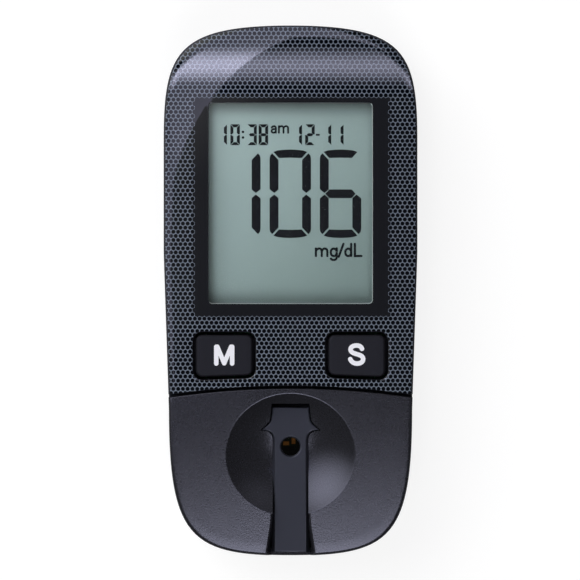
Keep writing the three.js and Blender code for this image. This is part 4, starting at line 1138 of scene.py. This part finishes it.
class METER_OT_display(bpy.types.Operator):
    """Builds the reading on the display: its digits, colon, dash and unit"""

    bl_idname = "meter.display"
    bl_label = "Display reading"

    def execute(self, context):
        sizes = context.scene.meter_display
        low, high = FILM_TOP + 0.01 * MM, FILM_TOP + 0.04 * MM
        dot_radius, dash, half_day_stroke, unit_stroke = 0.24 * MM, (0.72 * MM, 0.34 * MM), 0.34, 0.42
        loops = []
        for name, x in LARGE_FIGURES:
            loops += large_figure(name, *from_picture(x, LARGE_TOP))
        for name, x in TIME_FIGURES + DATE_FIGURES:
            loops += small_figure(name, sizes.stroke, *from_picture(x, SMALL_TOP))
        loops += [circle(dot_radius, *from_picture(COLON_X, y), steps=16) for y in COLON_ROWS]
        loops.append(rectangle(*dash, 0.0, *from_picture(*DASH_PLACE)))
        meshes = [prism(loop, low, high) for loop in loops]
        meshes.append(lettering(HALF_DAY, half_day_stroke, *from_picture(*HALF_DAY_FOOT), low, high))
        meshes.append(lettering(UNIT, unit_stroke, *from_picture(*UNIT_FOOT), low, high))
        dressed("display_segments", gathered(meshes), "root", ["segment"])
        return {"FINISHED"}


class METER_OT_keys(bpy.types.Operator):
    """Builds the two keys with their letters"""

    bl_idname = "meter.keys"
    bl_label = "Keys"

    def execute(self, context):
        sizes = context.scene.meter_keys
        wing_size, wing_rise, wing_height = (KEY_WIDTH + 2.7 * MM, 7 * MM), 0.6 * MM, 0.8 * MM
        stem_radius, letter_stroke, ink = 1.6 * MM, 0.84, 0.02 * MM
        for letter, side, shape in (("m", -1, M_KEY), ("s", 1, S_KEY)):
            node, body = f"button_{letter}", f"{letter}_key"
            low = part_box(node)[0].z
            wing = low + wing_rise
            cap = capped(divided(key_loop(side, 0.0)), wing, KEY_TOP, sizes.edge_radius)
            wings = block(*wing_size, wing, wing + wing_height, side * KEY_X, KEY_Y)
            stem = prism(circle(stem_radius, side * KEY_X, KEY_Y, steps=24), low, wing + wing_height / 2)
            dressed(f"{letter}_key_cap", plus(cap, wings, stem), body, ["key"], [node])
            x, y = from_picture(KEY_LETTER_X[side], KEY_LETTER_FOOT)
            mark = lettering(shape, letter_stroke, x, y, KEY_TOP - ink, KEY_TOP + ink)
            dressed(f"{letter}_key_letter", mark, body, ["key_ink"])
        return {"FINISHED"}


class METER_OT_cover(bpy.types.Operator):
    """Builds the lower cover with its dish, and the strip guide"""

    bl_idname = "meter.cover"
    bl_label = "Lower cover and strip guide"

    def execute(self, context):
        cover = make_cover(context.scene.meter_cover)
        dressed("lower_cover_shell", cover, "lower_cover", ["cover"], ["measuring_cover"])
        made = dressed("strip_guide_rail", make_guide(), "lower_cover", ["guide"], ["strip_guide"])
        # The flat top is shaded flat, so that the rounding of its pointed tips leaves no line across it
        for face in made.data.polygons:
            face.use_smooth = face.normal.z < 0.999
        return {"FINISHED"}


def given_tree(name, **inputs):
    """A geometry tree with one geometry output and named inputs, and the outputs of its input node."""
    tree = bpy.data.node_groups.new(name, "GeometryNodeTree")
    tree.interface.new_socket("Geometry", in_out="OUTPUT", socket_type="NodeSocketGeometry")
    for title, kind in inputs.items():
        tree.interface.new_socket(title.replace("_", " "), in_out="INPUT", socket_type=f"NodeSocket{kind}")
    return tree, add(tree, "NodeGroupInput").outputs


def realized(tree, instances, finish):
    """Ends a geometry tree: its instances become one mesh with one finish."""
    real = add(tree, "GeometryNodeRealizeInstances", {0: instances})
    done = add(tree, "GeometryNodeSetMaterial", {"Geometry": real, "Material": finish})
    add(tree, "NodeGroupOutput", {"Geometry": done})
    return tree


def rib_tree():
    """Grip ribs in a row: half-round bars across the grip."""
    kinds = {"Ribs": "Int", "Spacing": "Float", "Radius": "Float", "Length": "Float"}
    tree, given = given_tree("grip_ribs", **kinds, First_place="Vector", Finish="Material")
    step = add(tree, "CombineXYZ", {"Y": given["Spacing"]})
    feeds = {"Count": given["Ribs"], "Start Location": given["First place"], "Offset": step}
    line = add(tree, "GeometryNodeMeshLine", feeds, mode="OFFSET")
    feeds = {"Vertices": 20, "Radius": given["Radius"], "Depth": given["Length"]}
    bar = add(tree, "GeometryNodeMeshCylinder", feeds, fill_type="NGON")
    laid = add(tree, "GeometryNodeTransform", {"Geometry": bar, "Rotation": (0.0, math.pi / 2, 0.0)})
    row = add(tree, "GeometryNodeInstanceOnPoints", {"Points": line, "Instance": laid})
    return realized(tree, row, given["Finish"])


def screw_tree():
    """Screws on points, each turned to its own angle."""
    kinds = {"Geometry": "Geometry", "Screw": "Object", "Size": "Float", "Seed": "Int", "Finish": "Material"}
    tree, given = given_tree("case_screws", **kinds)
    screw = add(tree, "GeometryNodeObjectInfo", {"Object": given["Screw"]}).outputs["Geometry"]
    feeds = {"Min": (0.0, 0.0, 0.0), "Max": (0.0, 0.0, math.pi / 2), "Seed": given["Seed"]}
    turn = add(tree, "FunctionNodeRandomValue", feeds, data_type="FLOAT_VECTOR")
    feeds = {"Points": given["Geometry"], "Instance": screw, "Rotation": turn, "Scale": given["Size"]}
    return realized(tree, add(tree, "GeometryNodeInstanceOnPoints", feeds), given["Finish"])


def grown(tree, vertices, values):
    """The plain mesh that a tree makes of some points, with its inputs set by name."""
    holder = placed("points", plain_mesh("points", vertices))
    grow = holder.modifiers.new("grow", "NODES")
    grow.node_group = tree
    for item in tree.interface.items_tree:
        if item.in_out == "INPUT" and item.name in values:
            grow[item.identifier] = values[item.name]
    made = evaluated(holder)
    bpy.data.objects.remove(holder)
    return made


def make_screw():
    """One pan-head screw, head down, with a cross in its head and a thread of eight turns."""
    low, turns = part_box("case_screw_1")[0].z, 8
    top, tip = low + 1.2 * MM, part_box("case_screw_3")[1].z
    head, core, thread = 1.9 * MM, 0.7 * MM, 0.9 * MM
    profile = [(1.3 * MM, low), (1.6 * MM, low + 0.08 * MM), (1.82 * MM, low + 0.28 * MM)]
    profile += [(head, low + 0.55 * MM), (head, top), (thread, top)]
    for i in range(turns):
        z = top + (tip - top) * (i + 0.5) / turns
        profile += [(core, z - 0.12 * MM), (thread, z)]
    screw = turned(profile + [(0.6 * MM, tip)], steps=40)
    wide, long, bottom, deep = 0.5 * MM, 2.2 * MM, low - OVERRUN, low + 0.6 * MM
    return less(screw, block(wide, long, bottom, deep), block(long, wide, bottom, deep))


class METER_OT_back(bpy.types.Operator):
    """Builds the battery door with its grip ribs, and the case screws"""

    bl_idname = "meter.back"
    bl_label = "Battery door and screws"

    def execute(self, context):
        sizes = context.scene.meter_back
        side, grip_floor = TRAY - 2 * GAP, DOOR_LOW + 0.5 * MM
        lug = (3 * MM, 1.8 * MM, DOOR_LOW + 0.5 * MM, DOOR_LOW + 1 * MM)
        grip_size, grip_inset, rib_length = (9 * MM, 3.2 * MM, 1.5 * MM), 1.9 * MM, 7 * MM
        panel = prism(divided(rectangle(side, side, TRAY_RADIUS, 0.0, CELL_Y)), DOOR_LOW, DOOR_TOP)
        lugs = [block(*lug, x, CELL_Y + side / 2) for x in (-LUG_X, LUG_X)]
        grip_y = CELL_Y - side / 2 + grip_inset
        grip = prism(divided(rectangle(*grip_size, 0.0, grip_y)), -OVERRUN, grip_floor)
        door = less(plus(panel, *lugs), grip)
        dressed("battery_door", door, "battery_door", ["casing"], ["battery_cover"])
        first = grip_y - sizes.rib_spacing * (sizes.ribs - 1) / 2
        values = {"Ribs": sizes.ribs, "Spacing": sizes.rib_spacing, "Radius": sizes.rib_radius}
        values |= {"Length": rib_length, "First place": (0.0, first, grip_floor)}
        values |= {"Finish": FINISHES["casing"]}
        ribs = grown(rib_tree(), [(0.0, 0.0, 0.0)], values)
        dressed("battery_door_ribs", ribs, "battery_door", ["casing"])
        screw = placed("screw", make_screw())
        values = {"Screw": screw, "Size": 1.0, "Seed": 3, "Finish": FINISHES["screw"]}
        screws = grown(screw_tree(), [(x, y, 0.0) for x, y in SCREWS], values)
        bpy.data.objects.remove(screw)
        dressed("case_screws", screws, "root", ["screw"], [f"case_screw_{i}" for i in range(1, 5)])
        return {"FINISHED"}


class METER_OT_inner(bpy.types.Operator):
    """Gives the solids that stay their finishes"""

    bl_idname = "meter.inner"
    bl_label = "Inner parts"

    def execute(self, context):
        slots = {part["node"]: part["material_slot"] for part in frame["record"]["subparts"]}
        for name, node in frame["nodes"].items():
            if not node.hide_render:
                node.data.materials.clear()
                node.data.materials.append(FINISHES[slots[name]])
        return {"FINISHED"}


# The stage


def paper():
    """White paper: the camera sees it lifted to white, and it still takes the shadow."""
    material, tree, place = begun("white paper")
    fibre = add(tree, "TexNoise", {"Vector": place, "Scale": 1 / (0.6 * MM), "Detail": 2.0})
    tone = add(tree, "Mix", {"Factor": fibre, 6: linear("888888"), 7: linear("8b8b8b")}, data_type="RGBA")
    matt = add(tree, "BsdfDiffuse", {"Color": tone})
    rays = add(tree, "LightPath").outputs
    # Gloss sees the near paper without the lift, so that the dark edge of the casing keeps its outline
    clear = add(tree, "Math", {0: rays["Is Camera Ray"], 1: rays["Is Transmission Ray"]}, operation="MAXIMUM")
    lift = add(tree, "Math", {0: clear, 1: bpy.context.scene.meter_stage.paper_lift}, operation="MULTIPLY")
    near = add(tree, "AddShader", {0: matt, 1: add(tree, "Emission", {"Strength": lift})})
    # Far from the meter, whatever the camera, gloss or clear pieces see is white
    seen = add(tree, "Math", {0: clear, 1: rays["Is Glossy Ray"]}, operation="MAXIMUM")
    white = add(tree, "Emission", {"Strength": seen})
    far = add(tree, "VectorMath", {0: place}, operation="LENGTH")
    near_end, far_start = 0.15, 0.8
    feeds = {"Value": far, "From Min": near_end, "From Max": far_start}
    fade = add(tree, "MapRange", feeds, interpolation_type="SMOOTHSTEP")
    sheet = add(tree, "MixShader", {0: fade, 1: near, 2: white})
    # It doesn't hide the back from a camera or a lamp below it
    under = add(tree, "NewGeometry").outputs["Backfacing"]
    way = add(tree, "Math", {0: under, 1: rays["Is Shadow Ray"]}, operation="MAXIMUM")
    return ended(material, "MixShader", {0: way, 1: sheet, 2: add(tree, "BsdfTransparent")})


def lay_floor():
    """A round sheet of paper, 6 m in radius, just under the meter."""
    count, rings, spacing, depth = 64, 30, 0.2, 0.1 * MM
    vertices = [p for i in range(1, rings + 1) for p in lifted(circle(spacing * i, steps=count), -depth)]
    faces = [tuple(range(count))]
    for start in range(0, (rings - 1) * count, count):
        for i in range(count):
            j = (i + 1) % count
            faces.append((start + j, start + i, start + count + i, start + count + j))
    ground = plain_mesh("floor", vertices, faces)
    ground.materials.append(paper())
    placed("floor", ground)


def light_room(sizes):
    """A dim room, whose background the camera sees as white."""
    world = bpy.data.worlds.new("dim room")
    bpy.context.scene.world = world
    tree = cleared(world)
    rays = add(tree, "LightPath").outputs
    # Above the horizon gloss and clear pieces keep the dim room, as the glossy face mirrors nothing white
    way = add(tree, "SeparateXYZ", {0: add(tree, "TexCoord").outputs["Generated"]}).outputs
    below = add(tree, "Math", {0: way[2], 1: 0.0}, operation="LESS_THAN")
    other = add(tree, "Math", {0: rays["Is Glossy Ray"], 1: rays["Is Transmission Ray"]}, operation="MAXIMUM")
    other = add(tree, "Math", {0: other, 1: below}, operation="MULTIPLY")
    seen = add(tree, "Math", {0: rays["Is Camera Ray"], 1: other}, operation="MAXIMUM")
    strength = add(tree, "MapRange", {"Value": seen, "To Min": sizes.room_light, "To Max": 1.0})
    add(tree, "OutputWorld", {"Surface": add(tree, "Background", {"Strength": strength})})


def hang_lamps(sizes):
    """Square lamps, some with a diffuser that fades from its middle to its sides."""
    # Each by its name, its turn from the display's right and its lean from upright in degrees, its distance,
    # side and power, and whether it has the diffuser
    lamps = (
        ("key_lamp", 138, 47.5, 1.6, 3.1, sizes.key_power, True),
        ("side_lamp", 52, 54, 1.3, 1.6, sizes.side_power, True),
        ("fill_lamp", -88, 29.5, 1.13, 0.6, sizes.fill_power, False),
        ("back_lamp", 120, 160, 1.3, 1.2, sizes.back_power, False),
    )
    aim = Vector((0.0, 0.0, 0.01))
    for name, turn, lean, distance, side, watts, soft in lamps:
        turn, lean = math.radians(turn), math.radians(lean)
        way = Vector((math.sin(lean) * math.cos(turn), math.sin(lean) * math.sin(turn), math.cos(lean)))
        light = bpy.data.lights.new(name, "AREA")
        light.shape, light.size, light.energy = "SQUARE", side, watts
        if soft:
            tree = cleared(light)
            spot = add(tree, "NewGeometry").outputs["Parametric"]
            spot = add(tree, "VectorMath", {0: spot, 1: (0.5, 0.5, 0.0)}, operation="DISTANCE")
            # 4.24 at the middle gives the same power as 1 all over
            feeds = {"Value": spot, "From Max": 0.5, "To Min": 4.24, "To Max": 0.0}
            fade = add(tree, "MapRange", feeds, interpolation_type="SMOOTHSTEP")
            add(tree, "OutputLight", {"Surface": add(tree, "Emission", {"Strength": fade})})
        lamp = placed(name, light)
        lamp.location = aim + way * distance
        lamp.rotation_euler = (-way).to_track_quat("-Z", "Y").to_euler()
        lamp.visible_camera = False


def hang_panels(sizes):
    """A panel with a bowed edge, mirrored in the faceplate's upper left corner, and a strip light above."""
    height, root = 1.3, math.sqrt(0.5)
    across, along = Vector((-root, root, 0.0)), Vector((root, root, 0.0))
    bow, bow_middle, bow_top, start, end, back = 0.34, 0.045, 0.228, -0.25, 0.35, 0.36
    bar_place, bar_reach = 0.229, 0.036
    outline = []
    for i in range(33):
        v = start + (end - start) * i / 32
        lean = min(0.95, abs(v - bow_middle) / bow)
        outline.append(across * (bow_top - bow * (1 - math.sqrt(1 - lean**2))) + along * v)
    outline += [across * back + along * end, across * back + along * start]
    strip = rectangle(0.8, 0.1, 0.0, 0.0, 0.23)
    # Each by its name, outline, height, haze and share of the strip's brightness
    panels = (
        ("light_panel", outline, height, sizes.panel_light, 2.2),
        ("light_strip", strip, height + 0.01, 0.0, 1.0),
    )
    for name, loop, z, haze, bar in panels:
        sheet = plain_mesh(name, lifted(loop, z), [tuple(range(len(loop)))])
        panel = placed(name, sheet)
        panel.visible_camera = False
        material, tree, place = begun(name.replace("_", " ") + " diffuser")
        # A soft bar of light lies along both
        away = add(tree, "SeparateXYZ", {0: place}).outputs[1]
        away = add(tree, "Math", {0: away, 1: bar_place}, operation="SUBTRACT")
        away = add(tree, "Math", {0: away}, operation="ABSOLUTE")
        feeds = {"Value": away, "From Max": bar_reach, "To Min": bar * sizes.strip_light, "To Max": 0.0}
        soft = add(tree, "MapRange", feeds, interpolation_type="SMOOTHSTEP")
        # The panel's haze fades a little away from its bowed edge and towards one end
        ahead = add(tree, "VectorMath", {0: place, 1: across}, operation="DOT_PRODUCT")
        feeds = {"Value": ahead, "From Min": 0.215, "From Max": 0.265, "To Min": haze, "To Max": 0.8 * haze}
        fade = add(tree, "MapRange", feeds)
        beside = add(tree, "VectorMath", {0: place, 1: along}, operation="DOT_PRODUCT")
        feeds = {"Value": beside, "From Min": -0.115, "From Max": -0.07, "To Min": 0.65}
        strength = {0: fade, 1: add(tree, "MapRange", feeds), 2: soft}
        strength = add(tree, "Math", strength, operation="MULTIPLY_ADD")
        sheet.materials.append(ended(material, "Emission", {"Color": linear("dcdcf8"), "Strength": strength}))


def set_camera(sizes):
    """A far camera over the face, as wide as the reference picture."""
    view = bpy.data.cameras.new("camera")
    view.sensor_width, face = 36.0, 0.014
    view.lens = view.sensor_width * (sizes.camera_height - face) / sizes.picture_width
    view.clip_start, view.clip_end = 0.05, 20.0
    camera = placed("camera", view)
    camera.location = (-0.1 * MM, 0.1 * MM, sizes.camera_height)
    bpy.context.scene.camera = camera


class METER_OT_stage(bpy.types.Operator):
    """Builds the floor, the lamps, the light panel and the camera"""

    bl_idname = "meter.stage"
    bl_label = "Stage"

    def execute(self, context):
        context.scene.view_settings.view_transform = "Standard"
        sizes = context.scene.meter_stage
        lay_floor()
        light_room(sizes)
        hang_lamps(sizes)
        hang_panels(sizes)
        set_camera(sizes)
        return {"FINISHED"}


class METER_PT_panel(bpy.types.Panel):
    """Lists the steps that build the meter"""

    bl_idname = "METER_PT_panel"
    bl_label = "Blood glucose meter"
    bl_space_type = "VIEW_3D"
    bl_region_type = "UI"
    bl_category = "Meter"

    def draw(self, context):
        for operator in OPERATORS:
            self.layout.operator(operator.bl_idname)
        for name in GROUPS:
            group = getattr(context.scene, name)
            box = self.layout.box()
            for size in group.__annotations__:
                box.prop(group, size)


GROUPS = {
    "meter_casing": CasingSizes,
    "meter_faceplate": FaceplateSizes,
    "meter_display": DisplaySizes,
    "meter_keys": KeySizes,
    "meter_cover": CoverSizes,
    "meter_back": BackSizes,
    "meter_stage": StageSizes,
}
OPERATORS = [
    METER_OT_casing,
    METER_OT_faceplate,
    METER_OT_display,
    METER_OT_keys,
    METER_OT_cover,
    METER_OT_back,
    METER_OT_inner,
    METER_OT_stage,
]


def register():
    for name, group in GROUPS.items():
        bpy.utils.register_class(group)
        setattr(bpy.types.Scene, name, bpy.props.PointerProperty(type=group))
    for operator in OPERATORS:
        bpy.utils.register_class(operator)
    bpy.utils.register_class(METER_PT_panel)


def unregister():
    bpy.utils.unregister_class(METER_PT_panel)
    for operator in reversed(OPERATORS):
        bpy.utils.unregister_class(operator)
    for name, group in GROUPS.items():
        delattr(bpy.types.Scene, name)
        bpy.utils.unregister_class(group)


def main():
    register()
    FINISHES.update(make_finishes())
    for operator in OPERATORS:
        group, name = operator.bl_idname.split(".")
        getattr(getattr(bpy.ops, group), name)()


if __name__ == "__main__":
    main()
